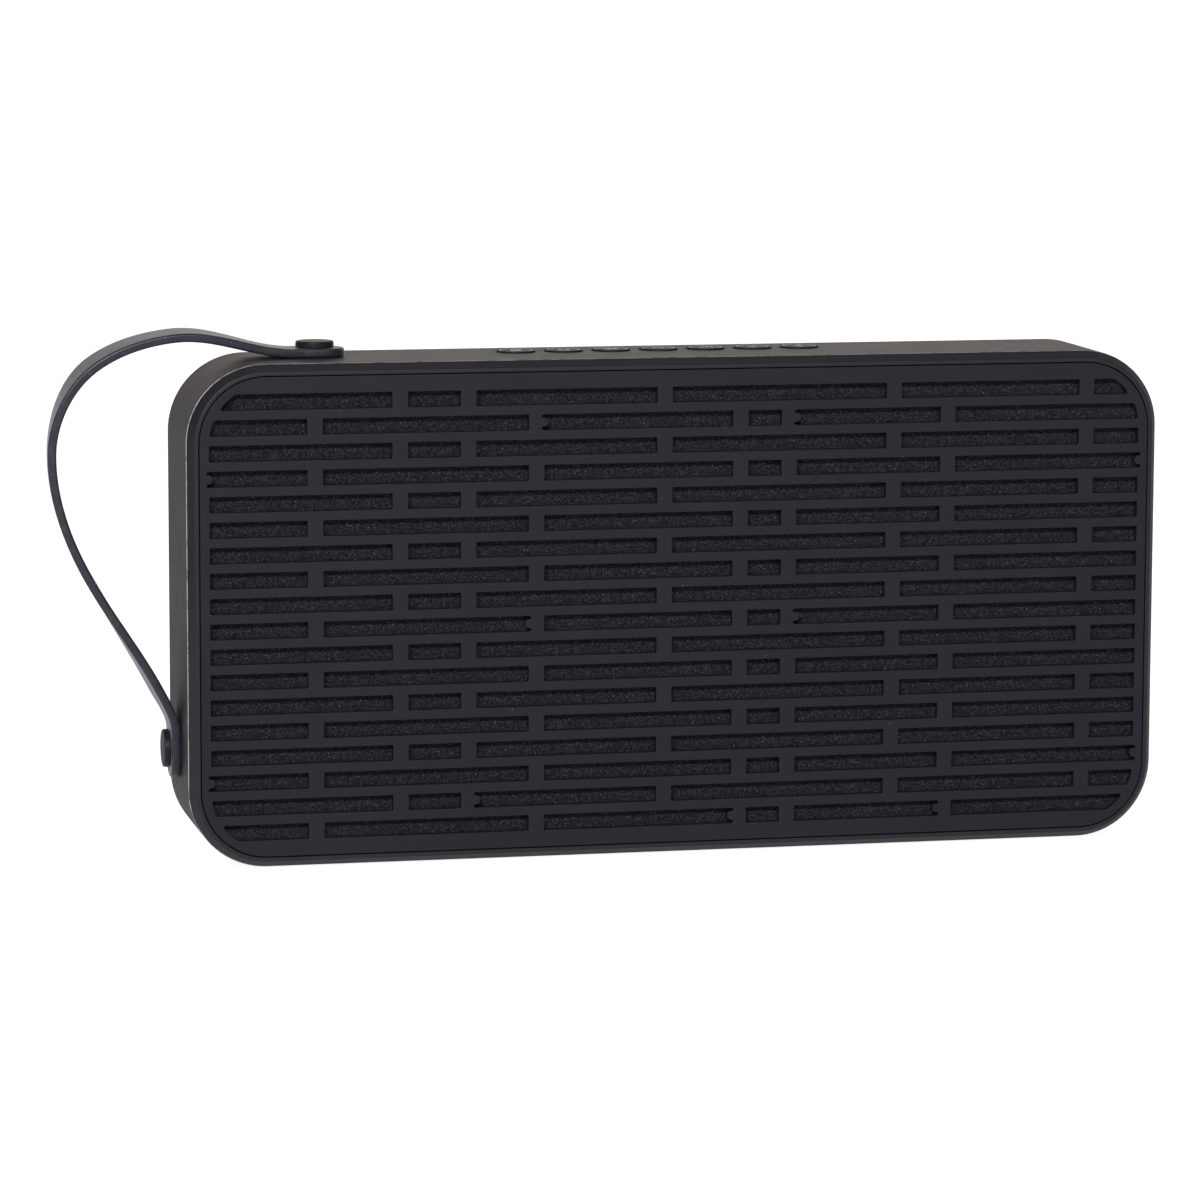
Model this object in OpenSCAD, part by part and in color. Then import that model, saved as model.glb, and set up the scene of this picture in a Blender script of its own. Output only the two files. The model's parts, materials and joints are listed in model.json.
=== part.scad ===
// Flat portable shower speaker with a slotted grille, seven top buttons and a carry strap.
// Millimetres. +X right, +Y back, +Z up; the origin is under the middle of the foot pad.

/* [Case] */
// width of the case
case_w = 294; // [200:1:400]
// height of the case
case_h = 148; // [100:1:220]
// depth of the case
case_d = 48; // [36:1:70]
// corner radius seen from the front
corner_r = 23; // [12:0.5:40]
// thickness of the case wall
wall = 2.6; // [1.5:0.1:4]
// rounding of the rear edge
rear_r = 6; // [3:0.5:10]
// how far the bezel's outer edge lies behind the front
bezel_back = 3.5; // [1:0.25:5]
// width of the bezel's slope
bezel_slope = 2.25; // [1:0.25:4]
// width of the whole bezel, up to the seam
bezel_w = 3.35; // [2:0.05:6]
// gap round the grille panel
seam = 0.3; // [0.1:0.05:1]
// how far the foot pad stands proud
foot_proud = 0.6; // [0.3:0.1:3]

/* [Grille] */
// thickness of the grille panel
grille_t = 2.6; // [1.5:0.1:4]
// rows of slots
rows = 18; // [6:1:24]
// distance from row to row
row_pitch = 7.44; // [4:0.02:12]
// height of a slot
slot_h = 4.6; // [2:0.1:8]
// width of the slotted block
block_w = 281.3; // [150:0.1:380]
// width of a web between two slots
web_w = 4.7; // [2:0.1:10]
// web centres in odd rows, from the block's left end
webs_odd = [55.9, 76.2, 135, 204.9, 264.8];
// web centres in even rows
webs_even = [31, 96.4, 158, 172.9, 221.7];
// rounding of the slotted block's corners
block_r = 16.2; // [5:0.1:30]
// radius of a fixing post behind the grille
post_r = 1.7; // [1:0.1:3]
// thickness of the foam behind the grille
foam_t = 3; // [1:0.5:6]

/* [Buttons] */
// centre of the first button
key_x0 = -44.4; // [-80:0.1:0]
// distance from button to button
key_pitch = 14.5; // [12:0.1:20]
// radius of a button cap
key_r = 5.7; // [4:0.1:7]
// gap round a cap
key_gap = 0.3; // [0.1:0.05:0.6]
// how far a cap stands proud
key_proud = 0.5; // [0:0.1:1.5]
// travel of a button
key_travel = 0.8; // [0.3:0.1:1.2]
// the button row behind the middle of the case
key_y = 5; // [-8:0.5:8]

/* [Strap] */
// width of the strap
strap_w = 13; // [8:0.5:20]
// thickness of the strap
strap_t = 2.6; // [1.5:0.1:4]
// the strap behind the middle of the case
strap_y = 1; // [-8:0.5:8]
// where the upper stud sits
stud_x = -105.7; // [-125:0.1:-60]
// where the side stud sits
stud_z = 33.2; // [25:0.1:110]
// radius of a stud's head
stud_head_r = 5.65; // [4:0.05:8]
// thickness of a stud's head
stud_head_t = 2; // [1:0.1:4]
// radius of a stud's shank
stud_r = 2; // [1.5:0.1:3]

/* [Drivers] */
// drivers right and left of the middle
driver_x = 92; // [60:1:100]
// drivers below the middle of the case
driver_drop = 2.6; // [0:0.1:10]
// radius of a driver's flange
flange_r = 40; // [30:0.5:45]
// outer radius of a cone
cone_r = 27.5; // [20:0.5:32]
// outer radius of a voice coil
coil_r = 13; // [8:0.5:18]
// travel of a cone each way
cone_travel = 1.5; // [0.5:0.1:3]

/* [Flap] */
// length of the port flap
flap_l = 36; // [20:1:60]
// thickness of the port flap
flap_t = 2.1; // [1.5:0.1:3]
// radius of the hinge pin
pin_r = 0.7; // [0.4:0.05:1.2]

/* [Hidden] */
$fn = 64;
cz = foot_proud + case_h / 2;       // middle of the case
top_z = foot_proud + case_h;
floor_z = foot_proud + wall;
side_x = case_w / 2;
front = case_d / 2;                 // levels in the case frame: + to the front
ledge_top = front - grille_t - 0.05;
ledge_t = 2;
ledge_in = 6.3;
parting = -front + rear_r;
gasket_t = 0.4;
foot_l = 199.6;
foot_w = 21.6;
foot_bed = 0.8;
foam_front = front - grille_t - 0.1;
foam_back = foam_front - foam_t;
baffle_f = 12.5;
baffle_t = 3;
baffle_in = wall + 0.3;
sink = 0.1;                         // how far joined shapes run into each other
loose = 0.02;                       // gap between pieces that lie on each other
boss_r = 3.6;
boss_in = 8;                        // boss centres in from the outside
boss_level = 4;                     // where the rear bosses end
rib_t = 2;
mid_boss_x = 66;
screw_r = 1.3;
screw_hole = 1.35;                  // hole that a case screw bites in
screw_head_r = 2.6;
screw_bore_r = 3;
screw_sink = 1.8;                   // depth of the rear cover's counterbores
small_hole = 1.05;                  // hole that a small screw bites in
corner_at = (corner_r - boss_in) / sqrt(2);
cx = case_w / 2 - corner_r;
cy = case_h / 2 - corner_r;
fixings = [for (s = [[1, 1, 45], [-1, 1, 135], [-1, -1, 225], [1, -1, 315]])
             [s[0] * (cx + corner_at), s[1] * (cy + corner_at), s[2]],
           for (s = [[1, 1], [-1, 1], [1, -1], [-1, -1]])
             [s[0] * mid_boss_x, s[1] * (case_h / 2 - boss_in), s[1] * 90]];
// fixing posts that show in a slot end: row, place along the row, side the slot lies on
grille_posts = [[2, 98.8, 1], [2, 175.3, 1], [4, 0, 1], [4, 281.3, -1], [10, 94, -1], [10, 175.3, 1],
                [16, 0, 1], [16, 281.3, -1], [17, 78.5, 1], [18, 155.7, -1], [18, 219.3, -1]];
post_bite = 0.75;
key_hole = key_r + key_gap;
key_flange_r = 6.6;
key_flange_t = 0.8;
key_flange_z = top_z - wall - 0.05;
pcb_t = 1.6;
key_board_z = 138;
switch_h = 1.6;
key_stem_r = 1.8;
key_stem_z = key_board_z + pcb_t + switch_h + 0.2 + key_travel;
carrier_z = 142.4;
carrier_t = 1.2;
carrier_x = [key_x0 - 11.5, key_x0 + 6 * key_pitch + 11.5];
carrier_w = 12;
carrier_post_r = 3;
frame_in = 33;                      // inside of a driver frame's flange
frame_back = -18.5;                 // levels behind the baffle's face
yoke_back = -30.5;
magnet_front = -21;
magnet_back = -28;
magnet_r = 24;
yoke_r = 22;
pole_r = 12;
surround_at = 30.35;                // middle of a surround's roll
surround_r = 2.9;
skin_t = 0.5;                       // thickness of the rubber surrounds and the spiders
driver_screw_at = 37.6;
rad_w = 94;
rad_h = 64;
rad_roll = 3.2;
rad_ring = 5;
rad_plate_in = rad_ring + 2 * rad_roll;
rad_back = -3.6;
cell_r = 9.2;
cell_l = 65;
cell_gap = 2.5;
cell_y = 3.5;
tray_z = 12.6;
tray_floor = 1.6;
tray_side = 10.5;
tray_wall = 1.4;
tray_h = 11;
cell_z = tray_z + tray_floor + cell_r + 0.2;
tray_x = 103;
board_front = -14;
board_at = [[-55, -20], [55, -20], [-55, 43], [55, 43]];
board_margin = 5;
capacitors = [[-44, 30], [-44, 18], [40, 32], [-28, -10]];
// components on the main board: x, y, width, height, thickness
chips = [[-30, 10, 12, 12, 1.6], [10, 14, 14, 16, 2.2], [-8, -14, 8, 8, 4], [4, -14, 8, 8, 4],
         [34, -6, 10, 10, 1.4]];
flap_z = cz;
flap_y = [-7, 7.2];
hinge_x = side_x - 1.5;
hinge_y = 8.8;
knuckle_r = 1.4;
pin_tail = 2.5;                     // length of the pin past each end of the flap
seal_w = 11;
seal_l = 30;
pocket_x = side_x - 3.2;
pocket_y = [-7.3, 11.4];
well_x = side_x - 5.5;
well_wall = 2;
usb_z = 66;
usb_h = 9.2;
usb_t = 3.4;
jack_z = 82;
jack_r = 3;
jack_bore_r = 1.8;
port_pcb_x = 130;
port_post_z = [57, 92];
port_post_r = 2.5;
strap_gap = 0.1;
strap_line = case_w / 2 + strap_gap + strap_t / 2;
strap_top = top_z + strap_gap + strap_t / 2;
strap_end = 8.8;
// the strap's route from the upper end to the side end: x, z, heading
strap_knots = [[stud_x + strap_end, strap_top, 180], [-112.3, strap_top, 180], [-144.2, 155.8, 184.7],
               [-172, 147.6, 215.9], [-183.5, 122.1, 268.2], [-173.3, 84.7, 298.7],
               [-152.3, 48.8, 292.1], [-strap_line, stud_z + 7.5, 270],
               [-strap_line, stud_z - strap_end, 270]];
strap_steps = 6;
black = [0.1, 0.1, 0.11];
dark = [0.16, 0.16, 0.18];
steel = [0.7, 0.7, 0.72];
green = [0.1, 0.35, 0.2];
paper = [0.25, 0.24, 0.23];
blue = [0.15, 0.3, 0.55];

// ---- helpers ----

// the case frame: x right, y up from the middle, z to the front
module facing() translate([0, 0, cz]) rotate([90, 0, 0]) children();

// a 2D rounded rectangle
module rounded(w, h, r) {
  square([w - 2 * r, h], center = true);
  if (h > 2 * r) square([w, h - 2 * r], center = true);
  for (x = [-1, 1], y = h > 2 * r ? [-1, 1] : [0])
    translate([x * (w / 2 - r), y * (h / 2 - r)]) circle(r);
}

// a rounded slab between two levels
module slab(w, h, r, z0, z1)
  translate([0, 0, z0]) linear_extrude(z1 - z0) rounded(w, h, r);

// a profile (distance in from the outside, level) swept round a rounded rectangle
module rim(w, h, r)
  for (i = [0:3]) {
    along = i % 2 == 0 ? w : h;
    across = i % 2 == 0 ? h : w;
    rotate([0, 0, 90 * i]) {
      if (along > 2 * r)
        translate([-(along / 2 - r), across / 2, 0])
          rotate([90, 0, 90]) linear_extrude(along - 2 * r) mirror([1, 0]) children();
      translate([along / 2 - r, across / 2 - r, 0])
        rotate_extrude(angle = 90) translate([r, 0]) mirror([1, 0]) children();
    }
  }

// a ring about z
module ring(r_in, r_out, z0, z1)
  rotate_extrude() translate([r_in, z0]) square([r_out - r_in, z1 - z0]);

// a cylinder from one level to another
module rod(r, z0, z1) translate([0, 0, z0]) cylinder(r = r, h = z1 - z0);

// a box given by its two corners
module span(a, b) translate(a) cube(b - a);

// the same thing at every case fixing, every post, every driver screw, and at one button
module at_fixings() for (f = fixings) translate([f[0], f[1], 0]) rotate([0, 0, f[2]]) children();
module at_port_posts() for (z = port_post_z) translate([port_pcb_x, 0, z]) rotate([0, 90, 0]) children();
module at_carrier_posts() for (x = carrier_x) translate([x, key_y, 0]) children();
module at_board_posts() for (p = board_at) translate([p[0], p[1], 0]) children();
module at_driver_screws()
  for (a = [45:90:315]) rotate([0, 0, a]) translate([driver_screw_at, 0, 0]) children();
module at_key(i) translate([key_x0 + i * key_pitch, key_y, 0]) children();

// a stud's frame: z outwards, 0 at the case's outside
module at_stud_top() translate([stud_x, strap_y, top_z]) children();
module at_stud_side() translate([-side_x, strap_y, stud_z]) rotate([0, -90, 0]) children();

// a screw along z with its head's underside at a level; dir is the way the shank points
module screw(r, head_r, head_t, z, length, dir = -1) {
  rod(r, min(z, z + dir * length), max(z, z + dir * length));
  rod(head_r, min(z, z - dir * head_t), max(z, z - dir * head_t));
}

// ---- case ----

module bezel_profile()
  polygon([[0, parting + gasket_t], [0, front - bezel_back],
           [0.2 * bezel_slope, front - 0.68 * bezel_back], [0.5 * bezel_slope, front - 0.33 * bezel_back],
           [0.78 * bezel_slope, front - 0.1 * bezel_back], [bezel_slope, front],
           [bezel_w - seam / 2, front], [bezel_w - seam / 2, ledge_top],
           [ledge_in, ledge_top], [ledge_in, ledge_top - ledge_t],
           [wall, ledge_top - ledge_t], [wall, parting + gasket_t]]);

// a boss and the rib that ties it to the wall, between two levels
module boss(z0, z1) {
  rod(boss_r, z0, z1);
  span([0, -rib_t / 2, z0], [boss_in - wall / 2, rib_t / 2, z1]);
}

module housing() color(dark) difference() {
  union() {
    facing() {
      rim(case_w, case_h, corner_r) bezel_profile();
      at_fixings() {
        boss(baffle_f + sink, foam_back - sink);
        boss(parting + gasket_t, boss_level);
      }
    }
    // well behind the port flap
    span([well_x, pocket_y[0] - well_wall, flap_z - flap_l / 2 - pin_tail - well_wall],
         [side_x - 1, pocket_y[1] + well_wall, flap_z + flap_l / 2 + pin_tail + well_wall]);
    at_port_posts() rod(port_post_r, pcb_t, well_x - port_pcb_x + sink);
    // posts of the button carrier
    at_carrier_posts() rod(carrier_post_r, carrier_z + carrier_t, top_z - wall + sink);
  }
  facing() at_fixings() {
    rod(screw_hole, baffle_f, foam_back - 2);
    rod(screw_hole, parting, boss_level - 2);
  }
  for (i = [0:6]) at_key(i) rod(key_hole, top_z - wall - 1, top_z + 1);
  // stud holes
  at_stud_top() rod(stud_r + 0.1, -wall - 1, 1);
  at_stud_side() rod(stud_r + 0.1, -wall - 1, 1);
  // pocket of the port flap, its hinge pin and the two sockets
  span([pocket_x, pocket_y[0], flap_z - flap_l / 2 - 0.3],
       [side_x + 1, pocket_y[1], flap_z + flap_l / 2 + 0.3]);
  translate([hinge_x, hinge_y, flap_z]) rod(pin_r + loose, -flap_l / 2 - pin_tail, flap_l / 2 + pin_tail);
  span([well_x - 1, -usb_t / 2 - 0.3, usb_z - usb_h / 2 - 0.3],
       [side_x, usb_t / 2 + 0.3, usb_z + usb_h / 2 + 0.3]);
  translate([well_x - 1, 0, jack_z]) rotate([0, 90, 0]) rod(jack_r + 0.3, 0, side_x - well_x);
  at_port_posts() rod(small_hole + 0.1, 0, 9);
  at_carrier_posts() rod(small_hole, carrier_z, top_z - wall + 1);
  // bed of the foot pad
  translate([0, 0, foot_proud - 1])
    linear_extrude(foot_bed + 1) rounded(foot_l + 0.4, foot_w + 0.4, foot_w / 2 + 0.2);
}

module rear_cover() color(dark) facing() difference() {
  union() {
    rim(case_w, case_h, corner_r) difference() {
      union() {
        intersection() {
          translate([rear_r, parting]) circle(rear_r);
          translate([0, -front]) square([rear_r, rear_r]);
        }
        translate([rear_r - sink, -front]) square([2 + 2 * sink, wall]);
      }
      intersection() {
        translate([rear_r, parting]) circle(rear_r - wall);
        translate([0, -front + wall]) square([rear_r, rear_r]);
      }
    }
    slab(case_w - 2 * rear_r - 4, case_h - 2 * rear_r - 4, corner_r - rear_r - 2, -front, -front + wall);
    at_fixings() rod(boss_r + 0.8, -front + 0.8, parting);
    at_board_posts() rod(3, -front + wall - sink, board_front - pcb_t);
  }
  at_fixings() {
    rod(screw_r + 0.2, -front - 1, parting + 1);
    rod(screw_bore_r, -front - 1, -front + screw_sink);
  }
  at_board_posts() rod(small_hole + 0.2, -front + 1.6, board_front);
}

module rear_gasket() color(black) facing()
  rim(case_w, case_h, corner_r) translate([0.4, parting + loose]) square([wall - 0.6, gasket_t - 2 * loose]);

module rear_screws() color(steel) facing()
  at_fixings() screw(screw_r, screw_head_r, 1.4, -front + screw_sink - loose, 22, 1);

module foot_pad() color(black)
  linear_extrude(foot_proud + foot_bed - 0.05) rounded(foot_l, foot_w, foot_w / 2);

// ---- grille ----

module slot_row(row) {
  webs = row % 2 == 1 ? webs_odd : webs_even;
  difference() {
    square([block_w, slot_h], center = true);
    for (w = webs) translate([w - block_w / 2, 0]) square([web_w, slot_h + 1], center = true);
  }
  for (p = grille_posts) if (p[0] == row)
    translate([p[1] - block_w / 2 + (p[2] > 0 ? -post_bite : -0.2), -slot_h / 2])
      square([post_bite + 0.2, slot_h]);
}

function row_y(row) = ((rows + 1) / 2 - row) * row_pitch;

module slots() intersection() {
  difference() {
    for (row = [1:rows]) translate([0, row_y(row)]) slot_row(row);
    for (p = grille_posts)
      translate([p[1] - block_w / 2 - 0.2 * p[2], row_y(p[0])]) circle(post_r);
  }
  rounded(block_w + 2 * post_bite, 2 * cy + 31.4, block_r);
}

module front_grille() color(black) facing() {
  difference() {
    slab(case_w - 2 * bezel_w - seam, case_h - 2 * bezel_w - seam, corner_r - bezel_w - seam / 2,
         front - grille_t, front);
    translate([0, 0, front - grille_t - 1]) linear_extrude(grille_t + 2) slots();
  }
}

module grille_foam() color(paper) facing()
  slab(case_w - 2 * ledge_in - 0.6, case_h - 2 * ledge_in - 0.6, corner_r - ledge_in - 0.3,
       foam_back, foam_front);

// ---- baffle and drivers ----

module front_baffle() color(black) facing() difference() {
  slab(case_w - 2 * baffle_in, case_h - 2 * baffle_in, corner_r - baffle_in, baffle_f - baffle_t, baffle_f);
  for (s = [-1, 1]) translate([s * driver_x, -driver_drop, 0]) {
    rod(frame_in + 2.4, 0, 20);
    at_driver_screws() rod(small_hole, 0, 20);
  }
  translate([0, -driver_drop, 0]) slab(rad_w - 8, rad_h - 8, rad_h / 2 - 4, 0, 20);
  at_fixings() rod(screw_r + 0.2, 0, 20);
}

module baffle_screws() color(steel) facing()
  at_fixings() screw(screw_r, screw_head_r - 0.1, 1.6, baffle_f - baffle_t - loose, 6.5, 1);

// a driver's frame: z to the front, 0 at the baffle's face
module driver(side)
  translate([side * driver_x, 0, 0]) facing() translate([0, -driver_drop, baffle_f]) children();

module driver_frame() difference() {
  union() {
    ring(frame_in, flange_r, loose, 1.6);
    rotate_extrude() polygon([[frame_in, loose], [frame_in + 2, loose], [frame_in + 2, -1],
      [yoke_r + 0.5, frame_back + 1.5], [yoke_r + 0.5, frame_back], [coil_r + 1, frame_back],
      [coil_r + 1, frame_back + 1.5], [yoke_r - 1, frame_back + 1.5], [frame_in, -1.6]]);
  }
  // windows of the basket
  for (a = [0:60:300]) rotate([0, 0, a]) span([yoke_r + 1, -8, -14], [flange_r, 8, -3]);
  at_driver_screws() rod(small_hole + 0.05, -1, 2);
}

module driver_yoke() {
  ring(coil_r + 0.4, yoke_r, magnet_front, frame_back - loose);
  union() {
    rod(yoke_r, yoke_back, magnet_back);
    rod(pole_r, yoke_back, frame_back - 0.1);
  }
}

module driver_magnet() ring(pole_r + 3, magnet_r, magnet_back + loose, magnet_front - loose);

module driver_cone() rotate_extrude()
  polygon([[cone_r, 1.4], [cone_r - 1.6, 1.4], [coil_r + 0.1, -8], [coil_r + 0.1, -8.7],
           [cone_r - 1.4, 0.8], [cone_r, 0.8]]);

module dust_cap() rotate_extrude()
  polygon([for (a = [0:10:60]) [coil_r * sin(a) / sin(60), -11.6 + coil_r * 0.62 * cos(a)],
           for (a = [60:-10:0]) [(coil_r - 0.5) * sin(a) / sin(60), -12 + (coil_r - 0.5) * 0.62 * cos(a)]]);

module voice_coil() ring(coil_r - 0.6, coil_r, frame_back - cone_travel, -8.6);

// a half roll of a rubber surround
module half_roll(at, r) difference() {
  translate([at, 1.7]) circle(r);
  translate([at, 1.7]) circle(r - skin_t);
  translate([at - 6, -3]) square([12, 4.62]);
}

module driver_surround() rotate_extrude() {
  half_roll(surround_at, surround_r);
  translate([cone_r - 1.5, 1.62]) square([1.6, skin_t]);
  translate([frame_in + 0.1, 1.62]) square([2.1, skin_t]);
}

module driver_spider() ring(coil_r + 0.2, yoke_r + 0.4, -13, -13 + skin_t);

module driver_screws() color(steel) for (s = [-1, 1]) driver(s)
  at_driver_screws() screw(1, 1.9, 1.1, 1.62, 4.2);

module radiator_frame() color(black) facing() translate([0, -driver_drop, baffle_f])
  rim(rad_w, rad_h, rad_h / 2) translate([0, loose]) square([rad_ring, 1.6 - loose]);

module radiator_plate() color(dark) facing() translate([0, -driver_drop, baffle_f]) {
  slab(rad_w - 2 * rad_plate_in, rad_h - 2 * rad_plate_in, rad_h / 2 - rad_plate_in, 0.4, 1.6);
  slab(36, 16, 8, rad_back, 0.5);
}

module radiator_surround() color(black) facing() translate([0, -driver_drop, baffle_f])
  rim(rad_w, rad_h, rad_h / 2) {
    half_roll(rad_ring + rad_roll, rad_roll + 0.1);
    translate([rad_ring - 1.8, 1.62]) square([2, skin_t]);
    translate([rad_plate_in - 0.2, 1.62]) square([2, skin_t]);
  }

// ---- battery and boards ----

module battery_tray() color(black) {
  a = cell_y - tray_side;
  b = cell_y + tray_side;
  span([-tray_x, a, tray_z], [tray_x, b, tray_z + tray_floor]);
  for (y = [a, b]) span([-tray_x, y - tray_wall / 2, tray_z], [tray_x, y + tray_wall / 2, tray_z + tray_h]);
  for (x = [-tray_x, tray_x - tray_wall]) span([x, a, tray_z], [x + tray_wall, b, tray_z + tray_h + 6]);
  for (x = [-1, 1] * (cell_l + cell_gap) / 2) span([x - 0.6, a, tray_z], [x + 0.6, b, tray_z + tray_h]);
  // feet
  for (x = [-95, -36, 36, 95]) span([x - 3, a + 1.5, floor_z + loose], [x + 3, b - 1.5, tray_z + sink]);
}

module battery_cells() color(blue) for (i = [-1:1])
  translate([i * (cell_l + cell_gap) - cell_l / 2, cell_y, cell_z]) rotate([0, 90, 0]) {
    rod(cell_r, 0, cell_l - 0.6);
    rod(cell_r - 2.5, cell_l - 0.6 - sink, cell_l);
  }

module battery_contacts() color(steel) for (s = [-1, 1])
  translate([s * (1.5 * cell_l + cell_gap + 0.45), cell_y, cell_z]) rotate([0, 90, 0]) rod(6, -0.2, 0.2);

module main_board() color(green) facing() difference() {
  span([board_at[0][0] - board_margin, board_at[0][1] - board_margin, board_front - pcb_t + loose],
       [board_at[3][0] + board_margin, board_at[3][1] + board_margin, board_front]);
  at_board_posts() rod(1.4, board_front - 3, board_front + 1);
}

module board_chips() color(black) facing() translate([0, 0, board_front + loose]) {
  for (c = chips) span([c[0], c[1], 0], [c[0] + c[2], c[1] + c[3], c[4]]);
  for (p = capacitors) translate([p[0], p[1], 0]) rod(4, 0, 7);
}

module board_screws() color(steel) facing()
  at_board_posts() screw(small_hole + 0.1, 2.4, 1.6, board_front + loose, 6.5);

module port_board() color(green) difference() {
  span([port_pcb_x, -7.5, port_post_z[0] - 3.5], [port_pcb_x + pcb_t - loose, 9, port_post_z[1] + 3.5]);
  at_port_posts() rod(small_hole + 0.15, -1, 3);
}

module usb_port() color(steel) translate([port_pcb_x + pcb_t, 0, usb_z]) difference() {
  span([0, -usb_t / 2, -usb_h / 2], [11.6, usb_t / 2, usb_h / 2]);
  difference() {
    span([5, -usb_t / 2 + 0.4, -usb_h / 2 + 0.4], [12, usb_t / 2 - 0.4, usb_h / 2 - 0.4]);
    // the socket's tongue
    span([4.9, -0.4, -3.2], [10.6, 0.4, 3.2]);
  }
}

module aux_jack() color(black) translate([port_pcb_x + pcb_t, 0, jack_z]) difference() {
  union() {
    span([0, -3.5, -5.5], [well_x - port_pcb_x - pcb_t - sink, 3.5, 5.5]);
    rotate([0, 90, 0]) rod(jack_r, 8, 11.8);
  }
  rotate([0, 90, 0]) rod(jack_bore_r, 0.6, 14);
}

module port_screws() color(steel) at_port_posts() screw(small_hole, 2, 1.4, -loose, 7.5, 1);

module port_flap() color(black) translate([0, 0, flap_z]) difference() {
  union() {
    span([side_x - flap_t, flap_y[0], -flap_l / 2], [side_x, flap_y[1], flap_l / 2]);
    span([side_x - flap_t, flap_y[1] - 0.2, -flap_l / 2], [hinge_x + 1, hinge_y, flap_l / 2]);
    translate([hinge_x, hinge_y, 0]) rod(knuckle_r, -flap_l / 2, flap_l / 2);
  }
  translate([hinge_x, hinge_y, 0]) rod(pin_r + 0.05, -flap_l, flap_l);
  // finger lip
  span([side_x - 1, flap_y[0] - 1, -6], [side_x + 1, flap_y[0] + 1.2, 6]);
}

module flap_seal() color(dark)
  span([pocket_x + 0.2, -seal_w / 2, flap_z - seal_l / 2],
       [side_x - flap_t - loose, seal_w / 2, flap_z + seal_l / 2]);

module flap_pin() color(steel) translate([hinge_x, hinge_y, flap_z])
  rod(pin_r, -flap_l / 2 - pin_tail + 0.1, flap_l / 2 + pin_tail - 0.1);

// ---- buttons ----

module button(i) color(black) at_key(i) {
  rod(key_r, key_flange_z - sink, top_z + key_proud);
  rod(key_flange_r, key_flange_z - key_flange_t, key_flange_z);
  rod(key_stem_r, key_stem_z, key_flange_z - key_flange_t + sink);
}

module button_power() button(0);
module button_call() button(1);
module button_previous() button(2);
module button_play() button(3);
module button_next() button(4);
module button_volume_down() button(5);
module button_volume_up() button(6);

// a strip as long as the button row, from a level up
module carrier_strip(z, t)
  span([carrier_x[0] - 4, key_y - carrier_w / 2, z], [carrier_x[1] + 4, key_y + carrier_w / 2, z + t]);

module button_carrier() color(dark) difference() {
  union() {
    carrier_strip(carrier_z, carrier_t - loose);
    at_carrier_posts() rod(carrier_post_r, key_board_z + pcb_t + loose, carrier_z + sink);
  }
  for (i = [0:6]) at_key(i) rod(key_stem_r + 0.3, carrier_z - 1, carrier_z + 3);
  at_carrier_posts() rod(small_hole + 0.05, key_board_z, carrier_z + 3);
}

module button_board() color(green) difference() {
  carrier_strip(key_board_z, pcb_t);
  at_carrier_posts() rod(small_hole + 0.05, key_board_z - 1, key_board_z + 3);
}

module button_switches() color(steel) for (i = [0:6])
  at_key(i) translate([0, 0, key_board_z + pcb_t + loose]) {
    span([-3, -3, 0], [3, 3, switch_h - 0.5]);
    rod(1.5, switch_h - 0.6, switch_h);
  }

module button_screws() color(steel) at_carrier_posts() screw(1, 1.9, 1.2, key_board_z - loose, 7.2, 1);

// ---- strap ----

// a point and its heading on the curve between two knots
function chord(a, b) = norm([b[0] - a[0], b[1] - a[1]]);
function curve_at(a, b, t) = let (l = chord(a, b),
    h1 = 2 * t ^ 3 - 3 * t ^ 2 + 1, g1 = t ^ 3 - 2 * t ^ 2 + t,
    h2 = 3 * t ^ 2 - 2 * t ^ 3, g2 = t ^ 3 - t ^ 2)
  [for (k = [0, 1]) h1 * a[k] + h2 * b[k]
     + l * (g1 * (k == 0 ? cos(a[2]) : sin(a[2])) + g2 * (k == 0 ? cos(b[2]) : sin(b[2])))];
function turn_at(a, b, t) = let (l = chord(a, b),
    h1 = 6 * t ^ 2 - 6 * t, g1 = 3 * t ^ 2 - 4 * t + 1, g2 = 3 * t ^ 2 - 2 * t,
    d = [for (k = [0, 1]) h1 * (a[k] - b[k])
           + l * (g1 * (k == 0 ? cos(a[2]) : sin(a[2])) + g2 * (k == 0 ? cos(b[2]) : sin(b[2])))])
  d / norm(d);
last_knot = len(strap_knots) - 1;
function side_at(a, b, t, off) = let (p = curve_at(a, b, t), d = turn_at(a, b, t))
  [p[0] - off * d[1], p[1] + off * d[0]];
function strap_side(off) = [for (i = [0:last_knot - 1], s = [0:strap_steps - 1])
    side_at(strap_knots[i], strap_knots[i + 1], s / strap_steps, off),
  side_at(strap_knots[last_knot - 1], strap_knots[last_knot], 1, off)];
function backwards(v) = [for (i = [len(v) - 1:-1:0]) v[i]];

// what an end keeps: x along the strap, rounded off round the stud
module end_cut() difference() {
  translate([0, -strap_w]) square([strap_w, 2 * strap_w]);
  circle(strap_w / 2);
  translate([-1, -strap_w / 2]) square([strap_end - strap_w / 2 + 1, strap_w]);
  translate([strap_end - strap_w / 2, 0]) circle(strap_w / 2);
}

module strap() color(black) difference() {
  translate([0, strap_y + strap_w / 2, 0]) rotate([90, 0, 0]) linear_extrude(strap_w)
    polygon(concat(strap_side(strap_t / 2), backwards(strap_side(-strap_t / 2))));
  translate([stud_x, strap_y, strap_top - 3]) linear_extrude(6) end_cut();
  translate([-strap_line + 3, strap_y, stud_z]) rotate([0, 90, 180]) linear_extrude(6) end_cut();
  at_stud_top() rod(stud_r + 0.2, -1, 6);
  at_stud_side() rod(stud_r + 0.2, -1, 6);
}

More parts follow.
